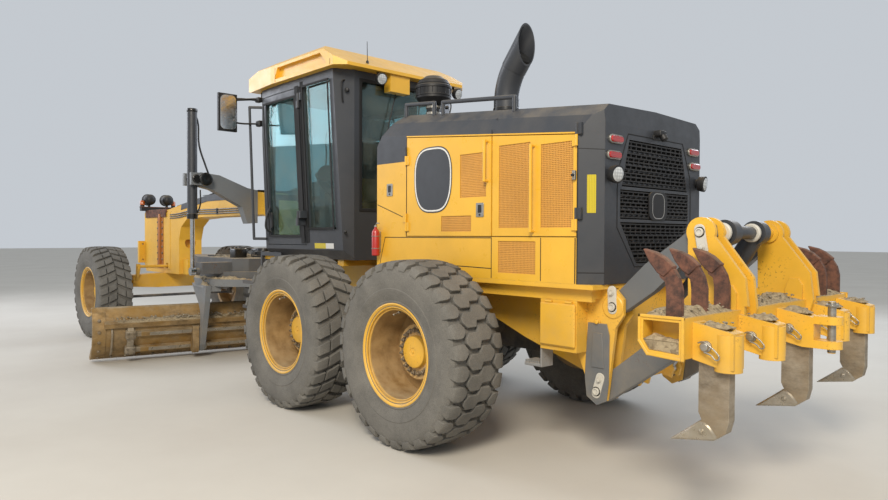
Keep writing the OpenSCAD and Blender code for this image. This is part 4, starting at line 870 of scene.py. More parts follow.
class GRADER_OT_stage(bpy.types.Operator):
    """Adds a plain pale floor, soft lamps and a pale background"""

    bl_idname = "grader.stage"
    bl_label = "Studio"

    def execute(self, context):
        deselect()
        bpy.ops.mesh.primitive_plane_add(size=FLOOR_SIZE, location=(0, 0, 0))
        floor = settled()
        floor.name = "floor"
        # A pale floor that shades a little, as rolled concrete does
        material, tree, _, place = started("pale_floor")
        shade = ranged(tree, noise_of(tree, place, 1.5, 6.0), 0.3, 0.7)
        colour = mixed(tree, shade, linear("c2bdb4"), linear("cbc7be"))
        floor.data.materials.append(shaded(material, {"Roughness": 0.9}, {"Base Color": colour}))
        # Lamps: [place, power in watts, size, colour]
        lamps = [
            (at(-7.0, 9.0, 8.5), 1500, 4.0, "fff4e2"),
            (at(2.0, -9.0, 7.0), 500, 7.0, "e6eefc"),
            (at(12.0, 5.0, 6.0), 450, 6.0, "f2f5ff"),
        ]
        for place, power, size, colour in lamps:
            deselect()
            aim = LAMP_AIM - place
            bpy.ops.object.light_add(
                type="AREA", location=place, rotation=aim.to_track_quat("-Z", "Y").to_euler()
            )
            lamp = context.object
            lamp.data.energy = power
            lamp.data.size = size
            lamp.data.color = linear(colour)[:3]
        world = bpy.data.worlds.new("studio") if not context.scene.world else context.scene.world
        context.scene.world = world
        world.use_nodes = True
        world.node_tree.nodes["Background"].inputs["Color"].default_value = linear("dfe5ec")
        world.node_tree.nodes["Background"].inputs["Strength"].default_value = 0.75
        context.scene.view_settings.view_transform = "Standard"
        return {"FINISHED"}


# Wheels


def wheel_places():
    """Every wheel: its name, station and side."""
    half = (middle("tyre_mid_left").x - middle("tyre_rear_left").x) / 2
    for place, x in (("rear", -half), ("mid", half), ("front", FRONT_AXLE_X)):
        for side, sign in SIDES.items():
            yield f"{place}_{side}", x, sign


def tyre_profile(depth):
    """Half of the tyre's section under its lugs, from bead to crown: [side from the middle, radius]."""
    half = TYRE_W / 2
    return [
        (0.188, 0.3235), (0.199, 0.352), (0.203, 0.366), (0.2, 0.372), (half - 0.004, 0.43),
        (half - 0.001, 0.452),
        (half - 0.004, 0.458), (half, 0.505), (half - 0.003, 0.55), (half - 0.007, 0.585),
        (half - 0.02, TYRE_R - 0.014 - depth),
        (0.165, TYRE_R - 0.005 - depth), (0.1, TYRE_R - 0.001 - depth), (0.0, TYRE_R - depth),
    ]


# Lugs of two treads: [side, radius, start and end in rows of the tread] from their outer end inward
BLOCK_SHOULDER = [
    (0.2215, 0.583, 0.23, 0.73), (0.2185, 0.612, 0.17, 0.79), (0.207, 0.6365, 0.12, 0.84),
    (0.165, 0.6445, 0.1, 0.86),
    (0.139, 0.6465, 0.14, 0.82), (0.116, 0.6485, 0.36, 0.6),
]
BLOCK_CENTRE = [
    (0.117, 0.648, -0.12, 0.12), (0.087, 0.649, -0.38, 0.38), (0.05, 0.6495, -0.38, 0.38),
    (0.01, 0.65, -0.38, 0.38),
    (-0.01, 0.65, -0.71, 0.05), (-0.05, 0.6495, -0.71, 0.05), (-0.087, 0.649, -0.71, 0.05),
    (-0.117, 0.648, -0.45, -0.21),
]
BLOCK_STEP = -0.33
BAR_SHOULDER = [
    (0.2215, 0.583, 0.32, 0.72), (0.2185, 0.612, 0.26, 0.76), (0.207, 0.6365, 0.18, 0.8),
    (0.165, 0.6445, 0.04, 0.68),
    (0.122, 0.6475, -0.08, 0.58),
]
BAR_INNER = [(0.108, 0.6485, -0.12, 0.54), (0.06, 0.6495, -0.3, 0.36), (0.008, 0.65, -0.52, 0.16)]


def lug(rows, depth, pitch, other_side=False, shift=0.0):
    """One lug of a tread as a closed block, with its foot inside the carcass."""
    across = 3
    if other_side:
        rows = [(-side, radius, start + shift, end + shift) for side, radius, start, end in reversed(rows)]
    deselect()
    bpy.ops.mesh.primitive_grid_add(x_subdivisions=across, y_subdivisions=len(rows) - 1, size=1)
    obj = bpy.context.object
    for i, vertex in enumerate(obj.data.vertices):
        side, radius, start, end = rows[i // (across + 1)]
        turn = (start + (end - start) * (i % (across + 1)) / across) * pitch
        vertex.co = (radius * math.cos(turn), side, radius * math.sin(turn))
    modified(obj, "SOLIDIFY", thickness=depth + 0.012, offset=-1)
    return softened(recalculated(obj, 0.00001), 0.003, 1)


class GRADER_OT_tyres(bpy.types.Operator):
    """Models two tyres, one with block tread and one with bar tread, and lays them on the wheels"""

    bl_idname = "grader.tyres"
    bl_label = "Tyres"

    def execute(self, context):
        tread = context.scene.grader_tread
        pitch = math.tau / tread.rows
        half = tyre_profile(tread.depth)
        section = [(-y, r) for y, r in half] + [(y, r) for y, r in reversed(half[:-1])]
        deselect()
        bpy.ops.mesh.primitive_circle_add(vertices=len(section), radius=1)
        carcass = context.object
        for vertex, (y, r) in zip(carcass.data.vertices, section):
            vertex.co = (r, y, 0)
        bpy.ops.object.mode_set(mode="EDIT")
        bpy.ops.mesh.select_all(action="SELECT")
        bpy.ops.mesh.spin(steps=120, angle=math.tau, center=(0, 0, 0), axis=LEFT)
        bpy.ops.mesh.select_all(action="SELECT")
        bpy.ops.mesh.remove_doubles(threshold=0.0004)
        bpy.ops.mesh.normals_make_consistent(inside=False)
        bpy.ops.object.mode_set(mode="OBJECT")
        treads = {
            "rear": [
                lug(BLOCK_SHOULDER, tread.depth, pitch), lug(BLOCK_CENTRE, tread.depth, pitch),
                lug(BLOCK_SHOULDER, tread.depth, pitch, True, BLOCK_STEP),
            ],
            "front": [
                lug(BAR_SHOULDER, tread.depth, pitch), lug(BAR_INNER, tread.depth, pitch),
                lug(BAR_SHOULDER, tread.depth, pitch, True, 0.5), lug(BAR_INNER, tread.depth, pitch, True, 0.5),
            ],
        }
        turns = [Matrix.Rotation(k * pitch, 4, "Y") for k in range(tread.rows)]
        tyres = {}
        for kind, lugs in treads.items():
            made = [copied(carcass, Matrix.Identity(4))]
            for pattern in lugs:
                made += spread(pattern, turns)
            tyres[kind] = joined(made)
        bpy.data.objects.remove(carcass)
        for wheel, x, sign in wheel_places():
            kind = "rear" if wheel.startswith("rear") else "front"
            # Each tyre stands at a turn of its own
            turn = Matrix.Rotation(math.radians(13 * x), 4, "Y")
            lay = Matrix.Translation(at(x, sign * WHEEL_Y, WHEEL_Z)) @ turn
            if sign < 0:
                lay = lay @ Matrix.Rotation(math.pi, 4, "Z")
            copy = piece(
                f"tyre_tread_{wheel}", [copied(tyres[kind], lay)], f"wheel_{wheel}", "tyre_rubber", None, 30
            )
            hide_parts(f"tyre_{wheel}")
        for tyre in tyres.values():
            bpy.data.objects.remove(tyre)
        return {"FINISHED"}


# Hood and tail


def hood_line(x, z):
    """Height of a line that falls with the hood, from its height near the hood's front."""
    return z + (x + 0.3) * math.tan(math.radians(5))


def plaque_outline(centre, grow):
    """The plaque's outline: a superellipse that narrows towards its foot."""
    points = []
    for k in range(48):
        t = k * math.tau / 48
        across = grow * (0.212 + 0.012 * math.sin(t)) * math.copysign(abs(math.cos(t)) ** 0.62, math.cos(t))
        up = grow * 0.25 * math.copysign(abs(math.sin(t)) ** 0.8, math.sin(t))
        points.append(centre + Vector((across, 0, up)))
    return points


# Station of the seam between the front and the rear engine doors
DOOR_SEAM = -1.17
# Windows of perforated steel: [body, station range, height range]
WINDOWS = [
    ("engine_door_front", (-1.115, -0.855), (1.74, 2.05)),
    ("engine_door_front", (-0.97, -0.655), (1.497, 1.61)),
    ("engine_door_rear", (-1.513, -1.236), (1.52, 2.08)),
    ("engine_door_rear", (-1.857, -1.602), (1.52, 2.055)),
    ("rear", (-1.56, -1.232), (1.215, 1.43)),
]


class GRADER_OT_panels(bpy.types.Operator):
    """Adds the perforated panels of the engine doors and the hood, with sheets of painted shade behind them"""

    bl_idname = "grader.panels"
    bl_label = "Perforated panels"

    def execute(self, context):
        for side, sign in SIDES.items():
            for body in ("engine_door_front", "engine_door_rear", "rear"):
                here = [(x, z) for owner, x, z in WINDOWS if owner == body]
                sheets = [drilled(x, z, HOOD_Y - 0.004) for x, z in here]
                # Sheets just behind the holes: painted shade for the dark seen through them
                dark = [box_at(x, (HOOD_Y - 0.0095, HOOD_Y - 0.0065), z, 0.001) for x, z in here]
                rider = body if body == "rear" else f"{body}_{side}"
                name = "tail" if body == "rear" else body
                piece(f"{name}_mesh_{side}", sided(sheets, sign), rider, "hood_paint", "sheet_paint")
                piece(f"{name}_mesh_painted_shade_{side}", sided(dark, sign), rider, "dark_paint", "sheet_backing")
        return {"FINISHED"}


class GRADER_OT_seams(bpy.types.Operator):
    """Adds the hood's seams, lids and steps under the doors, latches and bare plaques"""

    bl_idname = "grader.seams"
    bl_label = "Seams and latches"

    def execute(self, context):
        y = HOOD_Y
        lines = [
            [(DOOR_SEAM, 1.452), (DOOR_SEAM, 1.178)], [(-1.605, 1.452), (-1.605, 1.178)],
            [(-0.25, 1.458), (-0.25, 2.16)], [(DOOR_SEAM, 1.452), (0.02, 1.452), (0.1, 1.2)],
            [(-0.25, 1.6), (0.12, 1.72)], [(DOOR_SEAM, 1.24), (-0.2, 1.26)],
            [(DOOR_SEAM, hood_line(DOOR_SEAM, 2.245)), (DOOR_SEAM, hood_line(DOOR_SEAM, 2.27))],
        ]
        seams = [s for line in lines for s in strip(side_outline(line, y), LEFT)]
        seams += strip([at(DOOR_SEAM, 0.655, 2.275), at(DOOR_SEAM, 0.5, 2.345)], (0, 0.4, 1))
        seams += strip([at(-1.876, y, 1.45), at(-1.876, y, 1.175)], LEFT, 0.008)
        piece("hood_seams", mirrored(seams), "rear", "black_plastic", "seal")
        self.boxes()
        self.latches()
        self.plaques()
        return {"FINISHED"}

    def boxes(self):
        """Lids of the boxes under the doors, their hinges and a serrated step ahead of them."""
        low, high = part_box("side_boxes")
        side, x = high.y, (low.x - TANDEM_X + 0.006, high.x - TANDEM_X - 0.006)
        line = [(x[1], low.z + 0.03), (x[1], high.z - 0.02), (x[0], high.z - 0.02), (x[0], low.z + 0.03)]
        lids = [plate(side_outline(line, side + 0.01), 0.022, 0.009)]
        lids += [
            rod(at(k, side + 0.012, high.z - 0.012), at(k - 0.05, side + 0.012, high.z - 0.012), 0.008, 12)
            for k in (-1.61, -1.77)
        ]
        piece("side_box_lids", mirrored(lids), "rear", "frame_paint")
        step = [box_at((x[1] + 0.002, x[1] + 0.016), (side - 0.13, side - 0.01), (0.6, 0.86), 0.002)]
        step.append(box_at((x[1] + 0.01, x[1] + 0.15), (side - 0.13, side - 0.01), (0.6, 0.622), 0.003))
        for k in range(7):
            step.append(box_at(
                (x[1] + 0.03 + 0.018 * k, x[1] + 0.038 + 0.018 * k), (side - 0.128, side - 0.012),
                (0.618, 0.636), 0.002
            ))
        piece("side_steps", mirrored(step), "rear", "grey_paint")

    def latches(self):
        """Paddle latches on the doors and the hood."""
        y = HOOD_Y
        # [body, station, height]
        latches = [
            ("engine_door_front", -1.06, 1.648), ("rear", -0.042, 1.835), ("engine_door_rear", -1.872, 1.84)
        ]
        for side, sign in SIDES.items():
            for body, x, z in latches:
                centre = at(x, y + 0.002, z)
                if body == "engine_door_rear":
                    frame_plate = [box_at((x - 0.012, x + 0.012), (y, y + 0.02), (z - 0.03, z + 0.03), 0.004)]
                    pad = [rod(at(x, y + 0.02, z), at(x, y + 0.034, z), 0.009, 12, 0.002)]
                else:
                    frame_plate = [plate(rounded(centre, AHEAD, UP, 0.075, 0.1, 0.008), 0.008, 0.002)]
                    pad = [
                        plate(
                            rounded(centre + Vector((0, 0.004, 0.008)), AHEAD, UP, 0.034, 0.056, 0.006),
                            0.006, 0.002
                        ),
                        rod(raised(centre, -0.034), centre + Vector((0, 0.008, -0.034)), 0.007, 12, 0.001),
                    ]
                rider = body if body == "rear" else f"{body}_{side}"
                label = f"{body}_latch_{side}"
                piece(label, sided(frame_plate, sign), rider, "worn_steel", "bright_steel")
                piece(f"{label}_pad", sided(pad, sign), rider, "black_plastic")

    def plaques(self):
        """A bare oval plaque on each side, in a white rim."""
        y = HOOD_Y
        for side, sign in SIDES.items():
            centre = at(-0.56, y, 1.888)
            face = [plate(plaque_outline(centre, 1.0), 0.006, 0.001)]
            line = [p + Vector((0, 0.003, 0)) for p in plaque_outline(centre, 0.94)]
            rim = strip(line + line[:1], LEFT, 0.012, 0.001)
            piece(f"badge_plaque_{side}", sided(face, sign), f"engine_door_front_{side}", "dark_paint")
            piece(
                f"badge_rim_{side}", sided(rim, sign), f"engine_door_front_{side}", "grey_paint", "white_enamel"
            )


# Rims


class GRADER_OT_rims(bpy.types.Operator):
    """Adds the nuts, hub plate, cap, lock rings and valve of each rim"""

    bl_idname = "grader.rims"
    bl_label = "Rim details"

    def execute(self, context):
        for wheel, x, sign in wheel_places():
            front = wheel.startswith("front")
            body = f"wheel_{wheel}"
            # Side of the hub's face and of its cap: the rear rims are dished deeper
            face = WHEEL_Y + (0.02 if front else -0.04)
            out = (0, sign, 0)
            hub = at(x, 0, WHEEL_Z)
            base = turned(
                [(-0.05, 0.15), (-0.03, 0.19), (-0.02, 0.2), (0.022, 0.2), (0.03, 0.192)],
                aside(hub, sign * face), out, 64,
            )
            face += 0.03
            places = []
            for k in range(20):
                turn = (k + 0.5) * math.tau / 20
                places.append(
                    (hub + Vector((0.153 * math.cos(turn), sign * face, 0.153 * math.sin(turn))), out)
                )
            nuts = bolts(0.0145, 0.02, places)
            studs = [rod(p, aside(p, sign * 0.032), 0.008, 10, 0.001) for p, _ in places]
            piece(f"wheel_nuts_{wheel}", nuts + studs, body, "worn_steel", "dusty_nuts")
            piece(f"hub_plate_{wheel}", [base], body, "rim_paint", "hub_paint")
            cap = [turned(
                [
                    (-0.004, 0.116), (0.004, 0.116), (0.034, 0.11), (0.04, 0.1), (0.041, 0.03), (0.037, 0.028),
                    (0.037, 0.012)
                ],
                aside(hub, sign * face), out, 48,
            )]
            cap.append(turned(
                [(0, 0.009), (0.006, 0.009), (0.008, 0.006)], aside(hub, sign * (face + 0.036)),
                out, 12
            ))
            piece(f"hub_cap_{wheel}", cap, body, "rim_paint", "cap_paint")
            # Lock ring and side ring in the rim's lip
            lip = WHEEL_Y + 0.2
            sizes = [(0.004, 0.349, 0.007), (0.03, 0.31, 0.006), (0.012, 0.327, 0.004)]
            rings = [ring(aside(hub, sign * (lip - inset)), r, thick, "Y", 72, 8) for inset, r, thick in sizes]
            piece(f"rim_rings_{wheel}", rings, body, "rim_paint")
            stem = hub + Vector((0.0, sign * (lip - 0.06), 0.292))
            valve = [
                turned([(0, 0.009), (0.02, 0.009), (0.022, 0.006), (0.05, 0.005)], stem, (0, sign, -0.25), 14)
            ]
            valve.append(turned([(0.05, 0.007), (0.064, 0.007), (0.066, 0.005)], stem, (0, sign, -0.25), 14))
            piece(f"valve_{wheel}", valve, body, "bright_rod", "bright_steel")
        return {"FINISHED"}


# Cab

# The cab's walls lean in as they rise, and look this way
WALL_OUT = (0, 1, -0.055)


def cab_side(z):
    """Side of the cab's wall at a height."""
    return 0.63 + (z - 1.33) * 0.09 / 1.63


class GRADER_OT_cab(bpy.types.Operator):
    """Adds the cab's seals, door handles, posts, rear wiper, sill strips and headliner"""

    bl_idname = "grader.cab"
    bl_label = "Cab details"

    def execute(self, context):
        for side, sign in SIDES.items():
            body = f"door_{side}"
            seal_line = [(1.41, 1.46), (1.41, 2.8), (2.02, 2.8), (2.02, 1.46), (1.41, 1.46)]
            seal = strip([at(x, cab_side(z) + 0.016, z) for x, z in seal_line], WALL_OUT, 0.022, 0.003)
            handle = tube(
                [
                    at(1.98, cab_side(1.52) + 0.012, 1.5), at(1.985, 0.7, 1.52), at(1.985, 0.712, 1.62),
                    at(1.98, cab_side(1.76) + 0.012, 1.76)
                ],
                0.011
            )
            latch = plate(
                rounded(at(1.955, cab_side(1.62) + 0.021, 1.62), AHEAD, (0, 0.055, 1), 0.05, 0.16, 0.02),
                0.018, 0.004
            )
            piece(f"cab_door_seal_{side}", sided(seal, sign), body, "black_plastic", "seal")
            piece(f"cab_door_handle_{side}", sided([handle, latch], sign), body, "black_plastic")
        side_line = [(0.83, 1.53), (0.83, 2.87), (1.265, 2.87), (1.265, 1.53), (0.83, 1.53)]
        fixed = strip([at(x, cab_side(z) + 0.017, z) for x, z in side_line], WALL_OUT, 0.02, 0.003)
        fixed = mirrored(fixed)
        rear = [(-0.47, 1.7), (-0.47, 2.88), (0.47, 2.88), (0.47, 1.7), (-0.47, 1.7)]
        fixed += strip([at(0.679, y, z) for y, z in rear], BACK, 0.03, 0.004)
        piece("cab_seals", fixed, "front", "black_plastic", "seal")
        posts = strip(
            [at(1.298, cab_side(1.42) + 0.001, 1.42), at(1.298, cab_side(2.9) + 0.001, 2.9)], WALL_OUT,
            0.05, 0.002
        )
        piece("cab_side_posts", mirrored(posts), "front", "black_plastic", "seal")
        for side, sign in SIDES.items():
            edge = strip(
                [at(1.368, cab_side(1.42) + 0.016, 1.42), at(1.368, cab_side(2.86) + 0.016, 2.86)],
                WALL_OUT, 0.062, 0.002
            )
            piece(f"cab_door_edge_{side}", sided(edge, sign), f"door_{side}", "black_plastic", "seal")
        # The rear wiper with its blade and motor
        wiper = [rod(at(0.665, 0.06, 2.86), at(0.66, 0.22, 2.3), 0.006, 10, 0.001)]
        wiper.append(box_at((0.655, 0.665), (0.15, 0.29), (2.03, 2.31), 0.003))
        wiper.append(box_at((0.62, 0.67), (0.02, 0.11), (2.83, 2.9), 0.01, 2))
        piece("rear_wiper", wiper, "front", "black_plastic")
        strip_y = cab_side(1.34)
        sill = strip(
            [at(1.02, strip_y + 0.004, 1.368), at(1.16, strip_y + 0.004, 1.368)], WALL_OUT, 0.05, 0.0015
        )
        piece("sill_strip", mirrored(sill), "front", "roof_paint", "reflector")
        sill = strip(
            [at(0.89, strip_y + 0.004, 1.368), at(1.015, strip_y + 0.004, 1.368)], WALL_OUT, 0.05, 0.0012
        )
        piece("sill_strip_white", mirrored(sill), "front", "grey_paint", "white_enamel")
        # Headliner, inner posts and a dark floor mat
        inner = [
            box_at((0.78, 2.02), (-0.6, 0.6), (2.84, 2.9), 0.02, 2),
            box_at((0.8, 2.0), (-0.46, 0.46), (1.281, 1.3), 0.006)
        ]
        piece("headliner", inner, "front", "black_plastic")
        gear = [tube([at(0.74, 0.6, 2.84), at(0.76, 0.62, 2.3), at(0.76, 0.6, 1.6)], 0.02)]
        piece("cab_posts", mirrored(gear), "front", "dark_paint")
        # Hinge knuckles and a strut by the rear corner
        hooks = [
            turned([(0, 0.018), (0.03, 0.018), (0.034, 0.012)], at(0.7, 0.6, 2.77), (-0.6, 0.8, 0), 16),
            tube(
                [at(0.72, 0.62, 2.86), at(0.7, 0.66, 2.84), at(0.7, 0.66, 2.72), at(0.715, 0.64, 2.66)], 0.007
            ),
            turned([(0, 0.012), (0.05, 0.012), (0.054, 0.006)], at(0.705, 0.62, 1.5), (-1, 0.6, 0), 16),
        ]
        piece("corner_hooks", mirrored(hooks), "front", "black_plastic")
        return {"FINISHED"}


class GRADER_OT_interior(bpy.types.Operator):
    """Models the seat in padded cloth, the steering wheel, levers, console and monitor"""

    bl_idname = "grader.interior"
    bl_label = "Seat and controls"

    def execute(self, context):
        floor = 1.28
        cushion = padded_block((1.02, 1.545), (-0.255, 0.255), (floor + 0.4, floor + 0.52), 0.045)
        piece("seat_cushion", [cushion], "front", "black_plastic", "fabric", 60)
        back = padded_block((0.96, 1.115), (-0.25, 0.25), (floor + 0.5, floor + 1.12), 0.045)
        piece("seat_back", [back], "front", "black_plastic", "fabric", 60)
        rest = padded_block((0.985, 1.085), (-0.13, 0.13), (floor + 1.13, floor + 1.33), 0.035)
        piece("head_rest", [rest], "front", "black_plastic", "fabric", 60)
        metal = [rod(at(1.03, y, floor + 1.0), at(1.03, y, floor + 1.2), 0.008, 12) for y in (-0.06, 0.06)]
        metal += [box_at((1.1, 1.5), (-0.2, 0.2), (floor + 0.36, floor + 0.41), 0.01)]
        for k in range(6):
            metal.append(
                box_at((1.12, 1.46), (-0.17, 0.17), (floor + 0.06 + k * 0.045, floor + 0.085 + k * 0.045), 0.01)
            )
        for sign in (1, -1):
            metal.append(box_at(
                (1.02, 1.4), (sign * 0.3 - 0.045, sign * 0.3 + 0.045), (floor + 0.66, floor + 0.71), 0.02, 3
            ))
            metal.append(
                box_at((1.06, 1.12), (sign * 0.3 - 0.02, sign * 0.3 + 0.02), (floor + 0.4, floor + 0.68), 0.01)
            )
            metal.append(turned(
                [(0, 0.014), (0.05, 0.012), (0.06, 0.02), (0.11, 0.022), (0.13, 0.012)],
                at(1.36, sign * 0.3, floor + 0.71), (0.2, 0, 1), 16
            ))
        piece("seat_frame", metal, "front", "black_plastic")
        # Steering wheel on its leaning column, with the pedals
        hub = at(1.82, 0, floor + 0.79)
        axis = Vector((-0.45, 0, 0.9)).normalized()
        wheel = [ring((0, 0, 0), 0.19, 0.014, "Z", 48, 12)]
        wheel += [
            rod((0, 0, 0), (0.185 * math.cos(t), 0.185 * math.sin(t), 0.0), 0.009, 10)
            for t in (math.pi / 2, math.pi * 7 / 6, math.pi * 11 / 6)
        ]
        wheel.append(turned([(-0.02, 0.03), (0.006, 0.036), (0.014, 0.03)], (0, 0, 0), UP, 24))
        laid(wheel, facing(hub, axis))
        wheel.append(rod(hub, at(1.92, 0, floor + 0.5), 0.035, 20, 0.004))
        wheel += [
            box_at((1.72, 1.84), (y - 0.04, y + 0.04), (floor + 0.06, floor + 0.075), 0.006)
            for y in (-0.2, 0.2)
        ]
        piece("steering_wheel", wheel, "front", "black_plastic")
        # Side console with switches and a monitor on its arm
        console = [box_at((1.0, 1.62), (-0.56, -0.4), (floor + 0.02, floor + 0.52), 0.03, 3)]
        console += [
            box_at((1.5 - k * 0.07, 1.54 - k * 0.07), (-0.52, -0.45), (floor + 0.52, floor + 0.535), 0.004)
            for k in range(6)
        ]
        console.append(tube(
            [at(1.72, -0.5, floor + 0.5), at(1.76, -0.5, floor + 0.8), at(1.78, -0.42, floor + 1.0)], 0.012
        ))
        console.append(plate(
            [
                at(1.8, -0.5, floor + 0.94), at(1.76, -0.3, floor + 0.94), at(1.74, -0.3, floor + 1.1),
                at(1.78, -0.5, floor + 1.1)
            ],
            0.035, 0.006
        ))
        piece("console", console, "front", "black_plastic")
        return {"FINISHED"}


class GRADER_OT_roof(bpy.types.Operator):
    """Adds the roof's lips, ribs, aerial, corner lamps and the round lamps under its rear edge"""

    bl_idname = "grader.roof"
    bl_label = "Roof details"

    def execute(self, context):
        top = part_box("cab_roof")[1].z
        ribs = []
        for y in (-0.42, -0.14, 0.14, 0.42):
            ribs.append(box_at((0.98, 1.74), (y - 0.05, y + 0.05), (top - 0.004, top + 0.012), 0.006, 2))
        piece("roof_ribs", ribs, "front", "roof_paint")
        seam = strip([at(0.8, 0.7515, 2.985), at(1.65, 0.7515, 2.985)], LEFT, 0.008, 0.002)
        seam += strip([at(1.66, 0.7905, 2.97), at(1.66, 0.7905, 3.105)], LEFT, 0.004, 0.001)
        seam += strip([at(0.7, 0.7905, 2.97), at(0.7, 0.7905, 3.02)], LEFT, 0.004, 0.001)
        piece("roof_seams", mirrored(seam), "front", "black_plastic", "seal")
        # Aerial on its sprung foot
        foot = at(0.62, 0.44, 2.99)
        aerial = [
            turned([(0, 0.02), (0.014, 0.02), (0.018, 0.013), (0.05, 0.013), (0.06, 0.006)], foot, UP, 16),
            turned([(0, 0.0035), (0.16, 0.0028), (0.175, 0.002)], raised(foot, 0.055), (0.0, 0.02, 1), 8),
        ]
        aerial.append(box_at((0.6, 0.64), (0.4, 0.48), (2.965, 2.992), 0.006))
        piece("aerial", aerial, "front", "black_plastic")
        # Round work lamps under the rear edge
        lamps, glass = [], []
        for y in (0.33, -0.62):
            foot = at(0.6, y, 2.9)
            out = Vector((-1, 0.1 if y > 0 else -0.1, -0.25)).normalized()
            lamps.append(
                turned([(0, 0.03), (0.01, 0.04), (0.03, 0.052), (0.062, 0.056), (0.066, 0.05)], foot, out, 28)
            )
            lamps.append(tube([foot + Vector((0.02, 0, 0.075)), foot + Vector((0.0, 0, 0.03)), foot], 0.012))
            glass.append(turned([(0.06, 0.045), (0.068, 0.045), (0.071, 0.03)], foot, out, 28))
        piece("roof_lamps", lamps, "front", "black_plastic")
        piece("roof_lenses", glass, "front", "grey_paint", "clear_lens")
        # Small lamps set in the roof's rear corners
        corners = [
            plate(
                rounded(
                    at(0.64, 0.72, 3.012), Vector((0.5, 0.86, 0)).normalized(), (0.3, -0.17, 0.94), 0.09, 0.03,
                    0.014
                ),
                0.012, 0.004
            )
        ]
        piece("corner_lamps", mirrored(corners), "front", "grey_paint", "clear_lens")
        return {"FINISHED"}


class GRADER_OT_mirrors(bpy.types.Operator):
    """Models the mirrors with a rounded shell, a glass and two arms each"""

    bl_idname = "grader.mirrors"
    bl_label = "Mirrors"

    def execute(self, context):
        centre = at(2.2, 1.03, 2.71)
        across = Vector((0.1, 0.99, 0)).normalized()
        up = (0.0, 0.0, 1.0)
        shell = plate(rounded(centre, across, up, 0.19, 0.38, 0.06, 6), 0.05, 0.016)
        back = Vector((0.026, 0, 0))
        glass = plate(rounded(centre - back, across, up, 0.162, 0.345, 0.05, 6), 0.006, 0.002)
        arms = [
            tube([at(2.205, 1.02, 2.84), at(2.22, 0.9, 2.87), at(2.19, 0.72, 2.875)], 0.009),
            tube([at(2.205, 1.02, 2.64), at(2.215, 0.92, 2.62), at(2.19, 0.7, 2.63)], 0.009),
            box_at((2.185, 2.215), (0.985, 1.075), (2.6, 2.66), 0.008),
            box_at((2.185, 2.215), (0.985, 1.075), (2.81, 2.87), 0.008),
            box_at((2.12, 2.2), (0.67, 0.72), (2.6, 2.66), 0.01),
            box_at((2.12, 2.2), (0.67, 0.73), (2.85, 2.9), 0.01),
        ]
        piece("mirror_shells", mirrored([shell] + arms), "front", "black_plastic")
        piece("mirror_glass", mirrored([glass]), "front", "bright_rod", "mirror")
        return {"FINISHED"}


# Front frame, blade and circle

CIRCLE_AXIS = at(3.5, 0, 0)
BLADE_TURN = math.radians(-10)
BLADE_LEAN = math.radians(-22)
# The turn of the circle and what it carries, about its own axis
CIRCLE = (
    Matrix.Translation(CIRCLE_AXIS) @ Matrix.Rotation(BLADE_TURN, 4, "Z") @ Matrix.Translation(-CIRCLE_AXIS)
)
# From the blade's own frame, (out of its back, along it, up it), to the row's
BLADE = (
    CIRCLE @ Matrix.Translation(at(3.76, 0.0238, 0.03)) @ Matrix.Rotation(BLADE_LEAN, 4, "Y")
    @ Matrix.Translation(-at(0, 0, 0))
)
# The blade's curve: its radius, and its middle's height up the blade
CURVE_R = 0.413
BLADE_MID = 0.325


def blade_back(w):
    """How far the blade's back lies from the chord of its curve, at a height up the blade."""
    return math.sqrt(CURVE_R ** 2 - BLADE_MID ** 2) - math.sqrt(CURVE_R ** 2 - (w - BLADE_MID) ** 2)


# Heights of the slide bars up the blade, and places along it of its end plates, brackets and outer ribs
SLIDES = (0.2, 0.4)
END_Y, BRACKET_Y, RIB_Y = 1.79, 1.47, 1.66


def blade_bolt(along, w, lift):
    """A bolt's place on the blade's back, and the way it looks there."""
    out = Vector((blade_back(w) - math.sqrt(CURVE_R ** 2 - BLADE_MID ** 2), 0, w - BLADE_MID))
    return at(blade_back(w) - lift, along, w), out.normalized()


def blade_piece(name, objs, look=None, angle=35):
    """A worn piece on the blade, modelled in the blade's own frame."""
    return piece(name, laid(objs, BLADE), "blade", "worn_steel", look, angle)


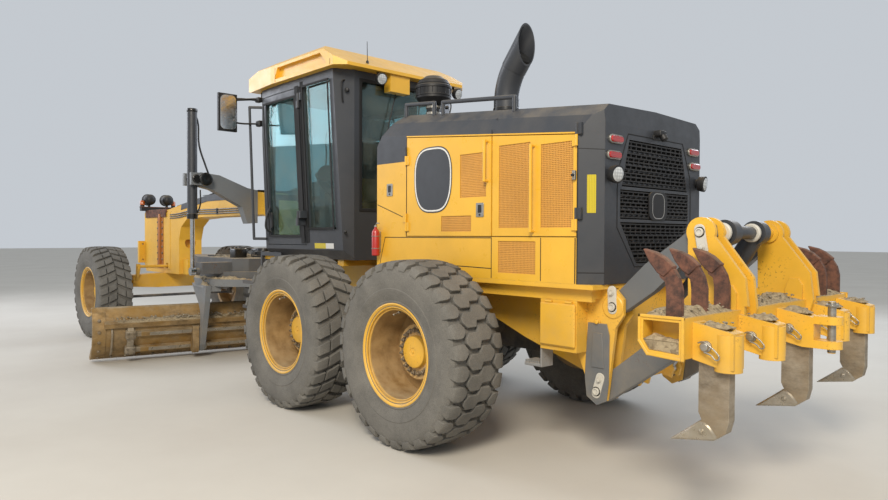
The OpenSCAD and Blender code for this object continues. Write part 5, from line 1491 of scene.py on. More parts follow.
class GRADER_OT_blade(bpy.types.Operator):
    """Adds the blade's bolts, end plates, slide brackets and faces, and the soil behind its top"""

    bl_idname = "grader.blade"
    bl_label = "Blade details"

    def execute(self, context):
        seed = context.scene.grader_stones.seed
        places = [
            blade_bolt(sign * END_Y, w, 0.009)
            for sign in (1, -1) for w in (0.07, 0.19, 0.31, 0.43, 0.55)
        ]
        places += [blade_bolt(-1.65 + k * 0.15, 0.07, 0.001) for k in range(23)]
        blade_piece("blade_bolts", bolts(0.014, 0.018, places), "dusty_nuts")
        # Plates that double the ends, and the castings that hold the slides' ends
        ends = []
        for sign in (1, -1):
            curve = [0.03 + 0.59 * k / 12 for k in range(13)]
            outline = [at(blade_back(w) - 0.009, sign * END_Y, w) for w in curve]
            outline += [at(blade_back(w) + 0.002, sign * END_Y, w) for w in reversed(curve)]
            ends.append(plate(outline, 0.135, 0.002))
        blade_piece("blade_end_plates", ends)
        ribs = []
        for sign in (1, -1):
            outline = [(-0.165, 0.14), (-0.212, 0.18), (-0.212, 0.42), (-0.175, 0.475)]
            outline += [(blade_back(w) + 0.003, w) for w in (0.49, 0.43, 0.36, 0.3, 0.23, 0.16, 0.1)]
            ribs.append(plate([at(u, sign * BRACKET_Y, w) for u, w in outline], 0.07, 0.008))
            outline = [(-0.14, 0.13), (-0.18, 0.2), (-0.185, 0.42)]
            outline += [(blade_back(w) + 0.003, w) for w in (0.51, 0.44, 0.37, 0.3, 0.23, 0.16, 0.09)]
            ribs.append(plate([at(u, sign * RIB_Y, w) for u, w in outline], 0.02, 0.004))
            for w in SLIDES:
                side = sorted((sign * 1.415, sign * 1.525))
                ribs.append(box_at((-0.222, -0.145), side, (w - 0.05, w + 0.05), 0.012, 2))
                side = sorted((sign * 1.35, sign * 1.42))
                ribs.append(box_at((-0.194, -0.15), side, (w - 0.027, w + 0.027), 0.002))
        blade_piece("slide_brackets", ribs, "scoured_shank")
        places = [
            (at(-0.222, sign * BRACKET_Y + dy, w + dw), BACK)
            for sign in (1, -1) for w in SLIDES for dy in (-0.032, 0.032) for dw in (-0.03, 0.03)
        ]
        blade_piece("slide_bolts", bolts(0.01, 0.014, places), "dusty_nuts")
        bars = [box_at((-0.1968, -0.193), (-1.27, 1.27), (w - 0.022, w + 0.022), 0.0012) for w in SLIDES]
        piece("slide_faces", laid(bars, BLADE), "blade", "bright_rod", "ground_steel")
        # Soil and stones caught behind the blade's top
        fill = [heap((-0.166, -0.075), (-1.7, 1.7), 0.541, 0.05, seed + 40, 0.018)]
        blade_piece("blade_soil", fill, "soil", 60)
        loose = stones(
            [((-0.155, -0.09), (-1.68, 1.68), 0.55, 0.05)], 420, context.scene.grader_stones.size * 1.2,
            seed + 41
        )
        blade_piece("blade_stones", loose, "gravel", 20)
        return {"FINISHED"}


class GRADER_OT_circle(bpy.types.Operator):
    """Adds soil and stones on the circle and the drawbar, the cheeks' pins and strips and the drive"""

    bl_idname = "grader.circle"
    bl_label = "Circle and drawbar"

    def execute(self, context):
        seed = context.scene.grader_stones.seed
        soil = []
        for sign in (1, -1):
            y = (0.692, 0.748) if sign > 0 else (-0.748, -0.692)
            soil.append(heap((3.09, 3.75), y, 0.88, 0.085, seed + 50 + sign, 0.013))
        soil.append(self.ridge(0.707, 0.76, 0.955, 0.062, seed))
        piece("circle_soil", laid(soil, CIRCLE), "circle_body", "grey_paint", "soil", 60)
        loose = stones(
            [((3.1, 3.74), (0.695, 0.745), 0.9, 0.09), ((3.1, 3.74), (-0.745, -0.695), 0.9, 0.09)], 260, 0.02,
            seed + 52
        )
        piece("circle_stones", laid(loose, CIRCLE), "circle_body", "grey_paint", "gravel", 20)
        # Pins at the feet of the cheeks
        pin = at(
            3.76 - 0.257 * math.cos(BLADE_LEAN) + 0.217 * math.sin(BLADE_LEAN), 0,
            0.03 - 0.257 * math.sin(-BLADE_LEAN) + 0.217 * math.cos(BLADE_LEAN)
        )
        pins, plates = [], []
        for sign in (1, -1):
            pins.append(turned(
                [(0, 0.044), (0.012, 0.044), (0.018, 0.036)], aside(pin, sign * 0.682),
                (0, -sign, 0), 24
            ))
            plates += strip(
                [at(3.2, sign * 0.7515, 0.86), at(3.66, sign * 0.7515, 0.86)], (0, sign, 0), 0.02, 0.003
            )
        piece("cheek_pins", laid(pins, CIRCLE), "circle_body", "worn_steel", "bright_steel")
        piece("cheek_strips", laid(plates, CIRCLE), "circle_body", "grey_paint")
        # Soil lying on the drawbar, and the circle's motor with its lines
        heaps = [
            heap((3.4, 4.18), (-0.36, 0.36), 1.19, 0.035, seed + 54, 0.025),
            heap((3.06, 3.4), (-0.36, 0.36), 1.19, 0.016, seed + 55, 0.02)
        ]
        heaps += mirrored([heap((3.37, 3.77), (0.522, 0.64), 1.04, 0.06, seed + 56)])
        piece("drawbar_soil", heaps, "drawbar_body", "grey_paint", "soil", 60)
        beds = [
            ((3.38, 3.76), (0.53, 0.63), 1.05, 0.05), ((3.38, 3.76), (-0.63, -0.53), 1.05, 0.05),
            ((3.45, 4.1), (-0.34, 0.34), 1.2, 0.02)
        ]
        loose = stones(beds, 300, 0.02, seed + 57)
        piece("drawbar_stones", loose, "drawbar_body", "grey_paint", "gravel", 20)
        drive = [
            turned(
                [
                    (0, 0.15), (0.03, 0.15), (0.035, 0.12), (0.08, 0.12), (0.085, 0.1), (0.12, 0.095),
                    (0.125, 0.08)
                ],
                at(3.36, 0.0, 1.185), UP, 40
            ),
            box_at((3.43, 3.58), (-0.07, 0.07), (1.18, 1.3), 0.014, 2),
            box_at((3.45, 3.6), (0.18, 0.34), (1.18, 1.3), 0.014, 2),
        ]
        for k in range(3):
            drive.append(tube(
                [
                    at(3.58, 0.21 + 0.05 * k, 1.28), at(3.66, 0.2 + 0.045 * k, 1.31),
                    at(3.7, 0.1 + 0.03 * k, 1.3), at(3.62, 0.02 * k, 1.29), at(3.57, 0.02 * k, 1.27)
                ],
                0.012
            ))
        piece("circle_drive", drive, "drawbar_body", "black_plastic", "oiled")
        heads = bolts(
            0.012, 0.014,
            [
                (
                    at(3.36 + 0.135 * math.cos(k * math.tau / 10), 0.135 * math.sin(k * math.tau / 10), 1.214),
                    UP
                )
                for k in range(10)
            ]
        )
        piece("drive_bolts", heads, "drawbar_body", "worn_steel", "dusty_nuts")
        return {"FINISHED"}

    def ridge(self, inner, outer, z, height, seed):
        """Soil lying on a ring round the circle's axis."""
        steps, rows = 220, 6
        deselect()
        bpy.ops.mesh.primitive_grid_add(x_subdivisions=steps, y_subdivisions=rows, size=1)
        obj = bpy.context.object
        for i, vertex in enumerate(obj.data.vertices):
            u, v = (i % (steps + 1)) / steps, (i // (steps + 1)) / rows
            turn, radius = -u * math.tau, inner + (outer - inner) * v
            spot = CIRCLE_AXIS + Vector((radius * math.cos(turn), radius * math.sin(turn), z))
            lumps = 0.45 + 0.8 * noise.noise(spot * 6 + Vector((seed, 0, 0))) + 0.3 * noise.noise(spot * 31)
            spot.z += -0.004 + height * (4 * v * (1 - v)) ** 0.5 * max(-0.1, lumps)
            vertex.co = spot
        modified(obj, "SOLIDIFY", thickness=0.004, offset=-1)
        return recalculated(obj, 0.0001)


class GRADER_OT_front(bpy.types.Operator):
    """Adds the nose's strips and lamps, the gooseneck's cover and lines, lift fittings and chests"""

    bl_idname = "grader.front"
    bl_label = "Front details"

    def execute(self, context):
        y = 0.175
        stained = [
            box_at((6.18, 6.42), (y - 0.002, y + 0.006), (0.96, 1.8), 0.002),
            box_at((6.265, 6.335), (y, y + 0.03), (0.97, 1.79), 0.006, 2)
        ]
        piece("nose_strips", mirrored(stained), "front", "frame_paint", "strip_paint")
        places = [(at(x, y + 0.006, 1.0 + k * 0.095), LEFT) for x in (6.21, 6.39) for k in range(9)]
        piece("nose_bolts", mirrored(bolts(0.013, 0.014, places)), "front", "worn_steel", "dusty_nuts")
        rusty = [
            box_at((6.05, 6.83), (0.13, 0.19), (1.808, 1.862), 0.006),
            box_at((6.06, 6.9), (0.184, 0.192), (1.74, 1.86), 0.003)
        ]
        rusty = mirrored(rusty) + [box_at((6.83, 6.93), (-0.278, 0.278), (1.905, 1.918), 0.004)]
        piece("lamp_bracket", rusty, "front", "rusty_steel")
        self.lamps()
        self.gooseneck()
        self.lift()
        self.access()
        return {"FINISHED"}

    def lamps(self):
        """Shells with domed backs, clear lenses ahead, amber lamps beside them, and bolts on the block."""
        shells, clear, amber = [], [], []
        for sign in (1, -1):
            back = at(6.822, sign * 0.14, 2.03)
            shells.append(turned(
                [(-0.06, 0.03), (-0.052, 0.05), (-0.03, 0.074), (0.0, 0.085), (0.004, 0.086), (0.006, 0.08)],
                back, AHEAD, 36
            ))
            shells.append(turned(
                [(0, 0.086), (0.004, 0.093), (0.022, 0.093), (0.026, 0.084)], at(6.926, sign * 0.14, 2.03),
                AHEAD, 36
            ))
            shells.append(tube(
                [at(6.88, sign * 0.242, 2.03), at(6.88, sign * 0.25, 1.95), at(6.88, sign * 0.22, 1.912)],
                0.008
            ))
            clear.append(turned(
                [(0, 0.083), (0.016, 0.083), (0.024, 0.06), (0.027, 0.02)], at(6.94, sign * 0.14, 2.03),
                AHEAD, 36
            ))
            amber.append(turned(
                [(0, 0.036), (0.055, 0.036), (0.07, 0.026), (0.076, 0.01)], at(6.88, sign * 0.245, 1.945),
                UP, 24
            ))
        piece("head_lamp_shells", shells, "front", "black_plastic")
        piece("head_lamp_lenses", clear, "front", "grey_paint", "clear_lens")
        piece("amber_lamps", amber, "front", "lamp_red", "amber")
        places = [(at(7.05, sy * 0.215, z), AHEAD) for sy in (1, -1) for z in (1.06, 1.33)]
        piece("push_bolts", bolts(0.02, 0.022, places), "front", "worn_steel", "dusty_nuts")

    def gooseneck(self):
        """The gooseneck's dark top, folded over its edges, and the steel lines in their clamps."""
        band = [(3.34, 2.013), (4.6, 2.013), (5.5, 1.913), (5.52, 1.83), (4.62, 1.925), (3.34, 1.925)]
        cover = mirrored([plate(side_outline(band, 0.1725), 0.005, 0.0015)])
        for a, b in (((3.34, 2.0125), (4.6, 2.0125)), ((4.6, 2.0125), (5.5, 1.9125))):
            cover += strip([at(a[0], 0, a[1]), at(b[0], 0, b[1])], (a[1] - b[1], 0, b[0] - a[0]), 0.345, 0.0025)
        piece("gooseneck_cover", cover, "front", "dark_paint")
        # The steel lines along the gooseneck, in their clamps
        lines = []
        for k in range(3):
            z = 1.755 + 0.028 * k
            lines.append(tube(
                [
                    at(3.42, 0.177, z), at(4.2, 0.178, z), at(5.2, 0.178, z), at(5.6, 0.178, z - 0.03),
                    at(5.928, 0.172, z - 0.04)
                ],
                0.008
            ))
        clamps = [
            box_at((x - 0.015, x + 0.015), (0.168, 0.19), (1.742, 1.826), 0.004)
            for x in (3.6, 4.3, 4.95)
        ]
        piece("gooseneck_lines", mirrored(lines + clamps), "front", "black_plastic", "oiled")

    def lift(self):
        """The lift cylinders' glands, caps and lines, and the pads under their arms."""
        fittings, caps = [], []
        axis = at(3.26, 0.95, 1.66)
        fittings.append(turned([(-0.012, 0.04), (-0.01, 0.06), (0.045, 0.061), (0.05, 0.056)], axis, UP, 28))
        fittings.append(
            turned([(0, 0.0565), (0.01, 0.06), (0.03, 0.06), (0.036, 0.0565)], at(3.26, 0.95, 2.86), UP, 28)
        )
        fittings.append(tube(
            [
                at(3.3, 0.897, 2.84), at(3.3, 0.87, 2.78), at(3.28, 0.86, 2.5), at(3.24, 0.8, 2.26),
                at(3.23, 0.77, 2.17)
            ],
            0.011
        ))
        fittings.append(tube([at(3.225, 0.905, 1.72), at(3.2, 0.885, 1.8), at(3.2, 0.882, 1.98)], 0.008))
        for x, way in ((3.14, -1), (3.38, 1)):
            fittings.append(
                turned([(0, 0.05), (0.016, 0.05), (0.022, 0.042)], at(x, 0.95, 2.1), (way, 0, 0), 24)
            )
        caps.append(turned(
            [(-0.01, 0.075), (0.02, 0.075), (0.026, 0.064), (0.026, 0.03), (0.022, 0.02)],
            at(3.135, 0.845, 2.1), BACK, 32
        ))
        piece("lift_fittings", mirrored(fittings + caps), "front", "black_plastic", "oiled")
        pads = [box_at((3.192, 3.328), (0.168, 0.182), (1.7, 2.0), 0.004)]
        piece("arm_pads", mirrored(pads), "front", "grey_paint", "arm_paint")

    def access(self):
        """Tool chests with lids, and the serrated treads of the steps."""
        chest = [
            box_at((2.04, 2.3), (0.4, 0.553), (1.05, 1.215), 0.012, 2),
            box_at((2.1, 2.24), (0.55, 0.558), (1.09, 1.17), 0.003)
        ]
        piece("tool_chests", mirrored(chest), "front", "dark_paint", "oiled")
        lid = [box_at((2.035, 2.305), (0.395, 0.558), (1.212, 1.25), 0.008, 2)]
        piece("chest_lids", mirrored(lid), "front", "frame_paint")
        treads = []
        for z in (0.735, 0.995):
            for k in range(5):
                treads += [
                    box_at((2.01, 2.32), (0.62 + 0.038 * k, 0.628 + 0.038 * k), (z - 0.001, z + 0.007), 0.001)
                ]
        piece("step_treads", mirrored(treads), "front", "worn_steel", "tread_plate")


STACK_LEAN = math.radians(37.8)


class GRADER_OT_hood_top(bpy.types.Operator):
    """Adds the air cleaner's bands, bars and clamps, and the stack's clamp and a plug of painted shade in its
    mouth
    """

    bl_idname = "grader.hood_top"
    bl_label = "Hood top details"

    def execute(self, context):
        axis = at(-0.02, 0.21, 0)
        bands = [
            turned([(0, 0.149), (0.003, 0.1545), (0.012, 0.1545), (0.015, 0.149)], raised(axis, 2.655), UP, 48),
            turned([(0, 0.149), (0.003, 0.157), (0.022, 0.157), (0.03, 0.15)], raised(axis, 2.72), UP, 48),
            turned([(0, 0.141), (0.003, 0.145), (0.01, 0.142), (0.012, 0.136)], raised(axis, 2.757), UP, 48),
            turned([(0, 0.122), (0.002, 0.126), (0.008, 0.122), (0.01, 0.115)], raised(axis, 2.788), UP, 48),
        ]
        for k in range(24):
            way = Vector((math.cos(k * math.tau / 24), math.sin(k * math.tau / 24), 0))
            bands.append(rod(raised(axis, 2.66) + way * 0.1505, raised(axis, 2.72) + way * 0.1505, 0.003, 8))
        piece("cleaner_bands", bands, "rear", "black_plastic")
        clamp = [
            turned([(0, 0.061), (0.003, 0.066), (0.022, 0.066), (0.025, 0.061)], raised(axis, z), UP, 40)
            for z in (2.5, 2.555)
        ]
        clamp.append(rod(
            raised(axis, 2.567) + Vector((-0.068, 0.02, 0)),
            raised(axis, 2.567) + Vector((-0.068, -0.03, 0)), 0.006, 12,
            0.001
        ))
        piece("cleaner_clamps", clamp, "rear", "worn_steel", "bright_steel")
        # The stack: a near-black plug in its mouth as painted shade of its inside, and a clamp round its foot
        lean = Vector((-math.sin(STACK_LEAN), 0, math.cos(STACK_LEAN)))
        mouth = at(-0.7664, 0, 2.8278) + lean * 0.1
        dark = [turned([(-0.06, 0.0925), (-0.02, 0.0925), (0, 0.07), (0.0, 0.02)], mouth, lean, 40)]
        piece("stack_painted_shade", dark, "rear", "dark_paint", "dark_hollow")
        band = [
            turned(
                [(0, 0.1035), (0.003, 0.108), (0.028, 0.108), (0.031, 0.1035)], at(-0.672, 0, 2.47), UP,
                48
            )
        ]
        band.append(rod(at(-0.79, -0.012, 2.485), at(-0.79, 0.05, 2.485), 0.007, 12, 0.001))
        piece("stack_clamp", band, "rear", "dark_paint", "oiled")
        return {"FINISHED"}


class GRADER_OT_extinguisher(bpy.types.Operator):
    """Models the slim red extinguisher with its band, valve and clip"""

    bl_idname = "grader.extinguisher"
    bl_label = "Extinguisher"

    def execute(self, context):
        foot = at(0.085, 0.748, 1.3)
        can = [
            turned(
                [(0, 0.026), (0.006, 0.032), (0.19, 0.032), (0.21, 0.024), (0.222, 0.013), (0.24, 0.012)], foot,
                UP, 28
            )
        ]
        body = piece("extinguisher_can", can, "rear", "red_paint")
        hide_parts("extinguisher")
        top = raised(foot, 0.235)
        valve = [
            turned([(0, 0.014), (0.012, 0.014), (0.015, 0.01)], top, UP, 16),
            tube(
                [raised(top, 0.012), top + Vector((-0.02, 0.004, 0.03)), top + Vector((-0.055, 0.006, 0.03))],
                0.005
            )
        ]
        clip = [ring(raised(foot, z), 0.0325, 0.003, "Z", 32, 8) for z in (0.06, 0.16)]
        clip.append(box_at((0.075, 0.095), (0.698, 0.718), (1.33, 1.5), 0.003))
        piece("extinguisher_clip", valve + clip, "rear", "grey_paint", "bright_steel")
        return {"FINISHED"}


# Zones of the rear grille: [half width below, half width above, height from, height to]
GRILLE = [(0.24, 0.43, 1.29, 1.555), (0.43, 0.43, 1.575, 1.76), (0.415, 0.33, 1.78, 2.08)]
TAIL_X = -2.02


class GRADER_OT_grille(bpy.types.Operator):
    """Adds the rear grille's rows of slots, its bare badge, seams and reflectors"""

    bl_idname = "grader.grille"
    bl_label = "Rear grille"

    def execute(self, context):
        bars = []
        # Pitch and height of the bars, and the distance of the ties between them
        pitch, bar, gap = 0.0245, 0.0085, 0.062
        x = (TAIL_X - 0.001, TAIL_X + 0.007)
        tie = box_at((x[0] + 0.001, x[1]), (-0.004, 0.004), (0.0, pitch - bar + 0.001), 0.0005)
        spots = []
        for low_half, high_half, z0, z1 in GRILLE:
            rows = round((z1 - z0) / pitch)
            for row in range(rows):
                z = z0 + (row + 0.5) * (z1 - z0) / rows
                half = low_half + (high_half - low_half) * (z - z0) / (z1 - z0)
                bars.append(box_at(x, (-half - 0.002, half + 0.002), (z - bar / 2, z + bar / 2), 0.001))
                count = int(2 * half / gap)
                for k in range(count + 1):
                    side = (k - count / 2) * gap + (gap / 2 if row % 2 else 0)
                    if abs(side) < half and row < rows - 1:
                        spots.append(Matrix.Translation((0, side, z + bar / 2 - 0.0005)))
        ties = spread(tie, spots)
        centre = at(TAIL_X - 0.004, -0.015, 1.668)
        badge = plate(rounded(centre, LEFT, UP, 0.23, 0.19, 0.05), 0.012, 0.002)
        rim = rounded(centre - Vector((0.006, 0, 0)), LEFT, UP, 0.15, 0.165, 0.05)
        piece("tail_grille", bars + ties + [badge], "rear", "dark_paint", "black_plastic")
        piece("tail_badge_rim", strip(rim + rim[:1], BACK, 0.006, 0.001), "rear", "grey_paint", "grey_plate")
        # A near-black sheet behind the grille's slots: painted shade for the hollow behind them
        hollow = [box_at((TAIL_X + 0.032, TAIL_X + 0.04), (-0.5, 0.5), (1.26, 2.1), 0.002)]
        piece("tail_painted_shade", hollow, "rear", "dark_paint", "dark_hollow")
        frame_line = [
            (0.0, 2.115), (0.345, 2.115), (0.45, 1.892), (0.465, 1.754), (0.465, 1.52), (0.26, 1.27), (0, 1.27)
        ]
        seams = strip([at(TAIL_X, y, z) for y, z in frame_line], BACK, 0.007, 0.002)
        seams += strip(
            [at(-1.89, HOOD_Y, 1.172), at(-1.89, HOOD_Y, 2.07), at(-1.89, HOOD_Y - 0.05, 2.17)], LEFT,
            0.007, 0.0015
        )
        seams += strip(
            [at(-1.89, HOOD_Y, 2.005), at(TAIL_X, HOOD_Y - 0.1, 1.995)], (-0.61, 0.79, 0), 0.004, 0.001
        )
        seams += strip(
            [at(-1.89, HOOD_Y, 1.24), at(TAIL_X, HOOD_Y - 0.1, 1.24)], (-0.61, 0.79, 0), 0.006, 0.0015
        )
        piece("tail_seams", mirrored(seams), "rear", "black_plastic", "seal")
        # Reflectors on the chamfered corners
        along = Vector((-0.793, -0.61, 0))
        marks = [plate(rounded(at(-1.958, 0.6485, 1.725), along, UP, 0.055, 0.235, 0.003, 2), 0.003, 0.0008)]
        piece("tail_reflectors", mirrored(marks), "rear", "roof_paint", "reflector")
        # Rear view camera over the grille
        eye = [
            box_at((TAIL_X - 0.055, TAIL_X + 0.03), (-0.04, 0.04), (2.128, 2.17), 0.012, 3),
            turned(
                [(0, 0.024), (0.03, 0.024), (0.034, 0.018)], at(TAIL_X - 0.045, 0, 2.132), (-0.5, 0, -0.85), 20
            ),
            box_at((TAIL_X - 0.01, TAIL_X + 0.01), (-0.055, 0.055), (2.108, 2.138), 0.004),
        ]
        piece("tail_camera", eye, "rear", "black_plastic")
        return {"FINISHED"}


class GRADER_OT_tail_lamps(bpy.types.Operator):
    """Models the red tail lamps in their rims and the round work lamps"""

    bl_idname = "grader.tail_lamps"
    bl_label = "Tail lamps"

    def execute(self, context):
        red, rims, housings, lenses = [], [], [], []
        for y, z in ((0.49, 2.0675), (0.51, 1.9675)):
            centre = at(TAIL_X - 0.006, y, z)
            rims.append(plate(rounded(centre, LEFT, UP, 0.15, 0.055, 0.026), 0.016, 0.003))
            red.append(
                plate(rounded(centre - Vector((0.009, 0, 0)), LEFT, UP, 0.132, 0.04, 0.019), 0.014, 0.005)
            )
        facing_out = Vector((-1, 0.18, -0.12)).normalized()
        foot = at(TAIL_X - 0.002, 0.545, 1.85)
        shell = [(0, 0.03), (0.012, 0.034), (0.02, 0.05), (0.05, 0.056), (0.064, 0.056), (0.066, 0.05)]
        housings.append(turned(shell, foot, facing_out, 32))
        lenses.append(
            turned([(0.06, 0.044), (0.067, 0.044), (0.0705, 0.034), (0.072, 0.016)], foot, facing_out, 32)
        )
        glass = piece("tail_lamp_red", mirrored(red), "rear", "lamp_red")
        piece("tail_lamp_rims", mirrored(rims), "rear", "grey_paint", "bright_steel")
        piece("tail_work_lamps", mirrored(housings), "rear", "black_plastic")
        piece("tail_work_lenses", mirrored(lenses), "rear", "grey_paint", "clear_lens")
        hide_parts("rear_lamps")
        return {"FINISHED"}


# Ripper

# Pins of the ripper's linkage: station and height
PIN_TOP = (-2.04, 1.03)
PIN_LOW = (-1.93, 0.49)
PIN_TOWER = (-2.6, 1.49)
PLATE_Y = 0.53
BEAM_TOP = 1.075
BEAM_X = (-2.83, -2.6)
HOLDER_X = -3.03
# The holders in the beam, counted from its middle, and those with a shank
HOLDERS, SHANKS = (-2, -1, 0, 1, 2), (-2, 0, 2)
HOLDER_PITCH = 0.5


def retainer(pin, bolt_offset, y, reach=0.045):
    """A long plate that holds a pin's end, with one bolt beside the pin."""
    x, z = pin
    bx, bz = x + bolt_offset[0], z + bolt_offset[1]
    along = Vector((bolt_offset[0], 0, bolt_offset[1]))
    run = along.length
    along.normalize()
    across = Vector((-along.z, 0, along.x))
    centre = (at(x, y + 0.006, z) + at(bx, y + 0.006, bz)) / 2
    return [
        plate(rounded(centre, across, along, 0.062, run + 2 * reach, 0.028), 0.012, 0.003),
        turned([(0, 0.024), (0.012, 0.024), (0.014, 0.016), (0.008, 0.013)], at(x, y + 0.01, z), LEFT, 24),
        *bolts(0.013, 0.018, [(at(bx, y + 0.012, bz), LEFT)]),
    ]


class GRADER_OT_ripper(bpy.types.Operator):
    """Adds the ripper's pins, brackets, welds, tooth tips and shank points, with soil and stones"""

    bl_idname = "grader.ripper"
    bl_label = "Ripper details"

    def execute(self, context):
        y = PLATE_Y
        plates = retainer(PIN_TOP, (0.004, 0.085), y) + retainer(PIN_LOW, (-0.022, 0.075), y)
        piece("mount_pin_plates", mirrored(plates), "rear", "worn_steel", "pale_plate")
        plates = retainer(PIN_TOWER, (-0.015, -0.085), y)
        piece("tower_pin_plates", mirrored(plates), "ripper", "worn_steel", "pale_plate")
        # Bolts and pads on the mount ears
        bosses = bolts(
            0.016, 0.02,
            [(at(-1.93, y, 1.11), LEFT), (at(-1.84, y, 1.0), LEFT), (at(-1.93, y, 0.93), LEFT)]
        )
        bosses.append(turned([(0, 0.05), (0.008, 0.05), (0.012, 0.044)], at(-1.8, y, 1.05), LEFT))
        bosses.append(
            turned([(0, 0.075), (0.01, 0.075), (0.016, 0.068)], at(PIN_TOP[0], y - 0.008, PIN_TOP[1]), LEFT)
        )
        piece("mount_bolts", mirrored(bosses), "rear", "frame_paint")
        # The dark bracket that holds the lower links, over the ears' outer faces
        outline = [
            (-1.86, 0.92), (-2.0, 0.92), (-2.02, 0.85), (-2.018, 0.55), (-2.003, 0.438), (-1.93, 0.402),
            (-1.853, 0.448), (-1.838, 0.57), (-1.845, 0.7)
        ]
        bracket = [plate(side_outline(outline, PLATE_Y + 0.004), 0.006, 0.002)]
        bracket.append(plate(
            side_outline([(-1.9, 0.86), (-1.97, 0.86), (-1.985, 0.64), (-1.89, 0.64)], PLATE_Y + 0.009),
            0.008, 0.002
        ))
        piece("lower_brackets", mirrored(bracket), "rear", "dark_paint", "link_paint")
        # Raised pads on the lower links
        pads = [
            plate(
                side_outline(
                    [(-1.99, 0.62), (-1.935, 0.63), (-1.89, 0.56), (-1.87, 0.46), (-1.93, 0.4), (-1.99, 0.46)],
                    0.5015
                ),
                0.006, 0.002
            ),
        ]
        piece("lower_link_pads", mirrored(pads), "lower_links", "grey_paint")
        self.cylinders()
        self.holders()
        self.welds()
        self.points()
        self.soil(context)
        return {"FINISHED"}

    def cylinders(self):
        """Pin caps, the sleeve between them and the glands of the cylinders, and the tow pin's sleeve."""
        axis = Vector((PIN_LOW[0] - 0.09 - PIN_TOWER[0], 0, 0.56 - PIN_TOWER[1])).normalized()
        caps = []
        foot = at(PIN_TOWER[0], 0.2, PIN_TOWER[1])
        for inner in (1, -1):
            caps.append(turned(
                [(0, 0.058), (0.016, 0.058), (0.022, 0.05)], aside(foot, inner * 0.062),
                (0, inner, 0)
            ))
        piece("ripper_pin_caps", mirrored(caps), "ripper", "worn_steel", "pale_plate")
        sleeve = turned(
            [(0, 0.037), (0.01, 0.04), (0.23, 0.04), (0.24, 0.037)], at(PIN_TOWER[0], -0.12, PIN_TOWER[1]),
            LEFT
        )
        piece("ripper_pin_sleeve", [sleeve], "ripper", "dark_paint")
        glands = [turned([(0, 0.05), (0.004, 0.058), (0.03, 0.058), (0.034, 0.05)], foot + axis * 0.6, axis)]
        piece("ripper_glands", mirrored(glands), "ripper_cylinders", "dark_paint")
        tow = [
            turned(
                [(0, 0.018), (0.004, 0.0215), (0.28, 0.0215), (0.286, 0.017)], at(-3.105, 0, 0.822), UP,
                28
            )
        ]
        tow.append(
            turned([(0, 0.021), (0.003, 0.034), (0.012, 0.034), (0.016, 0.028)], at(-3.105, 0, 1.078), UP, 28)
        )
        piece("tow_pin_sleeve", tow, "ripper", "frame_paint", "bright_steel")

    def holders(self):
        """A pin and a spring clip through each holder."""
        pins, clips = [], []
        for k in HOLDERS:
            side = k * HOLDER_PITCH
            for sign in (1, -1):
                spot = at(-2.9, side + sign * 0.055, 0.945)
                pins.append(turned(
                    [(0, 0.027), (0.012, 0.027), (0.014, 0.02), (0.03, 0.02), (0.034, 0.016)], spot,
                    (0, sign, 0), 24
                ))
            spot = at(-2.9, side + 0.081, 0.945)
            clips.append(tube([spot + Vector(v) for v in (
                (0.03, 0, 0.016), (0, 0.004, 0.024), (-0.03, 0, 0.004), (-0.06, 0, -0.02),
                (-0.075, 0.002, -0.045),
                (-0.06, 0, -0.055), (-0.035, 0, -0.036), (0.0, 0, -0.024),
            )], 0.004))
        piece("holder_pins", pins, "ripper", "worn_steel", "bright_steel")
        piece("holder_clips", clips, "ripper", "bright_rod", "bright_steel")

    def welds(self):
        """Weld beads round the towers' feet and the beam's end frame."""
        beads = []
        for foot_y in (0.4, 0.425, 0.505, 0.53):
            beads.append(tube(
                [
                    at(BEAM_X[0] + 0.02, foot_y, BEAM_TOP + 0.002),
                    at(-2.7, foot_y + 0.001, BEAM_TOP + 0.002), at(-2.58, foot_y, BEAM_TOP + 0.002)
                ],
                0.007
            ))
        end = [
            (-2.6, BEAM_TOP), (-2.6, 0.95), (-2.645, 0.89), (-2.83, 0.88), (-2.83, BEAM_TOP), (-2.6, BEAM_TOP)
        ]
        beads += strip(side_outline(end, 1.15), LEFT, 0.016, 0.006)
        piece("ripper_welds", mirrored(beads), "ripper", "frame_paint")

    def points(self):
        """Replaceable tips on the scarifier's teeth and pale ground points on the shanks."""
        tips = []
        for i in range(3):
            for sign in (1, -1):
                outline = [
                    (0.035, 0.243), (0.088, 0.288), (0.135, 0.312), (0.206, 0.33), (0.17, 0.262),
                    (0.128, 0.212), (0.09, 0.19)
                ]
                y = sign * (0.6 + i * 0.25)
                line = [at(BEAM_X[0] + 0.03 + u, y, BEAM_TOP + w) for u, w in outline]
                tips.append(plate(line, 0.042, 0.006))
        piece("scarifier_tips", tips, "ripper", "rusty_steel")
        # Pale ground points on the shanks
        points = []
        for k in SHANKS:
            x = HOLDER_X + 0.03
            outline = [
                (0.052, 0.515), (0.072, 0.496), (0.17, 0.48), (0.3, 0.458), (0.2, 0.535), (0.134, 0.588),
                (0.09, 0.56)
            ]
            points.append(plate([at(x + u, k * HOLDER_PITCH, w) for u, w in outline], 0.074, 0.008))
            for sign in (1, -1):
                points += bolts(
                    0.01, 0.01, [(at(x + 0.13, k * HOLDER_PITCH + sign * 0.037, 0.53), (0, sign, 0))]
                )
        piece("shank_points", points, "ripper", "worn_steel", "ground_steel")

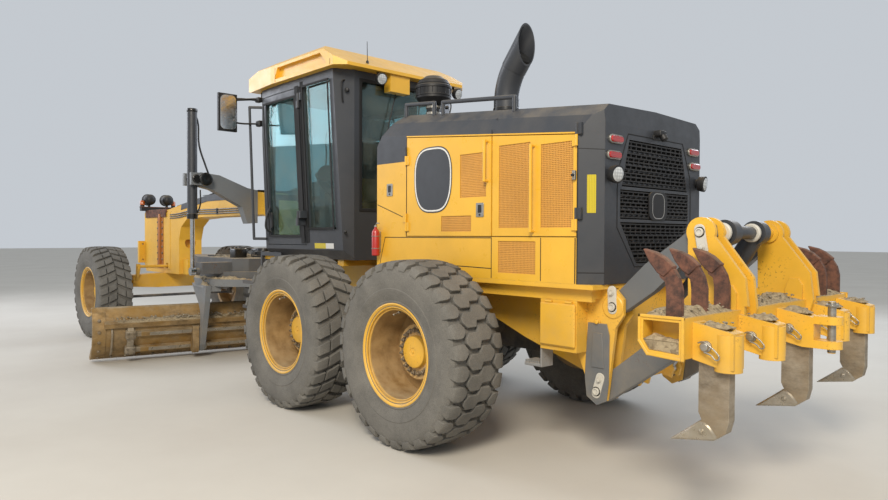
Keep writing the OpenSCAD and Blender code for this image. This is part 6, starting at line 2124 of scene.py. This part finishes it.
    def soil(self, context):
        """Soil and stones on the beam, on its holders and in its open ends."""
        beam = (BEAM_X[0] + 0.01, BEAM_X[1] - 0.005)
        piles = [heap(beam, (0.56, 1.14), BEAM_TOP, 0.055, 3)]
        piles += sided([heap(beam, (0.56, 1.14), BEAM_TOP, 0.05, 5)], -1)
        piles.append(heap(beam, (-0.39, 0.39), BEAM_TOP, 0.06, 8))
        for k in HOLDERS:
            piles.append(
                heap((-2.995, -2.85), (k * HOLDER_PITCH - 0.05, k * HOLDER_PITCH + 0.05), 1.04, 0.042, 11 + k)
            )
        for sign, seed in ((1, 21), (-1, 23)):
            fill = heap((BEAM_X[0] + 0.018, BEAM_X[1] - 0.018), (1.065, 1.148), 0.966, 0.04, seed)
            line = [(-2.812, 0.9), (-2.65, 0.908), (-2.618, 0.955), (-2.618, 0.964), (-2.812, 0.966)]
            bed = plate(side_outline(line, 1.106), 0.076, 0.004)
            piles += sided([fill, bed], sign)
        piece("ripper_soil", piles, "ripper", "worn_steel", "soil")
        beam = (BEAM_X[0] + 0.02, BEAM_X[1] - 0.02)
        beds = [
            (beam, (0.57, 1.13), BEAM_TOP, 0.05), (beam, (-1.13, -0.57), BEAM_TOP, 0.05),
            (beam, (-0.36, 0.36), BEAM_TOP, 0.055),
        ]
        beds += [
            ((-2.985, -2.86), (k * HOLDER_PITCH - 0.045, k * HOLDER_PITCH + 0.045), 1.045, 0.022)
            for k in HOLDERS
        ]
        gravel = stones(beds, 340, context.scene.grader_stones.size, context.scene.grader_stones.seed)
        piece("ripper_gravel", gravel, "ripper", "worn_steel", "gravel", 20)


OPERATORS = [
    GRADER_OT_camera, GRADER_OT_tyres, GRADER_OT_rims, GRADER_OT_cab, GRADER_OT_interior,
    GRADER_OT_roof, GRADER_OT_mirrors, GRADER_OT_front, GRADER_OT_circle, GRADER_OT_blade,
    GRADER_OT_hood_top, GRADER_OT_extinguisher, GRADER_OT_panels, GRADER_OT_seams, GRADER_OT_grille,
    GRADER_OT_tail_lamps, GRADER_OT_ripper, GRADER_OT_stage,
]
GROUPS = {
    "grader_camera": GraderCamera,
    "grader_looks": GraderLooks,
    "grader_tread": GraderTread,
    "grader_stones": GraderStones,
}


class GRADER_PT_panel(bpy.types.Panel):
    """Lists the grader's pieces and settings"""

    bl_idname = "GRADER_PT_panel"
    bl_label = "Motor Grader"
    bl_space_type = "VIEW_3D"
    bl_region_type = "UI"
    bl_category = "Grader"

    def draw(self, context):
        for name, group in GROUPS.items():
            box = self.layout.box()
            for key in group.__annotations__:
                box.prop(getattr(context.scene, name), key)
        for operator in OPERATORS:
            self.layout.operator(operator.bl_idname)


def register():
    """Adds the groups of settings, the operators and the panel to Blender."""
    for cls in [*GROUPS.values(), *OPERATORS, GRADER_PT_panel]:
        bpy.utils.register_class(cls)
    for name, group in GROUPS.items():
        setattr(bpy.types.Scene, name, bpy.props.PointerProperty(type=group))


def unregister():
    """Takes them out again."""
    for name in GROUPS:
        delattr(bpy.types.Scene, name)
    for cls in [GRADER_PT_panel, *reversed(OPERATORS), *GROUPS.values()]:
        bpy.utils.unregister_class(cls)


def main():
    """Builds the grader: materials first, then every operator in turn."""
    register()
    make_materials()
    dress_nodes()
    for operator in OPERATORS:
        group, name = operator.bl_idname.split(".")
        getattr(getattr(bpy.ops, group), name)()


if __name__ == "__main__":
    main()
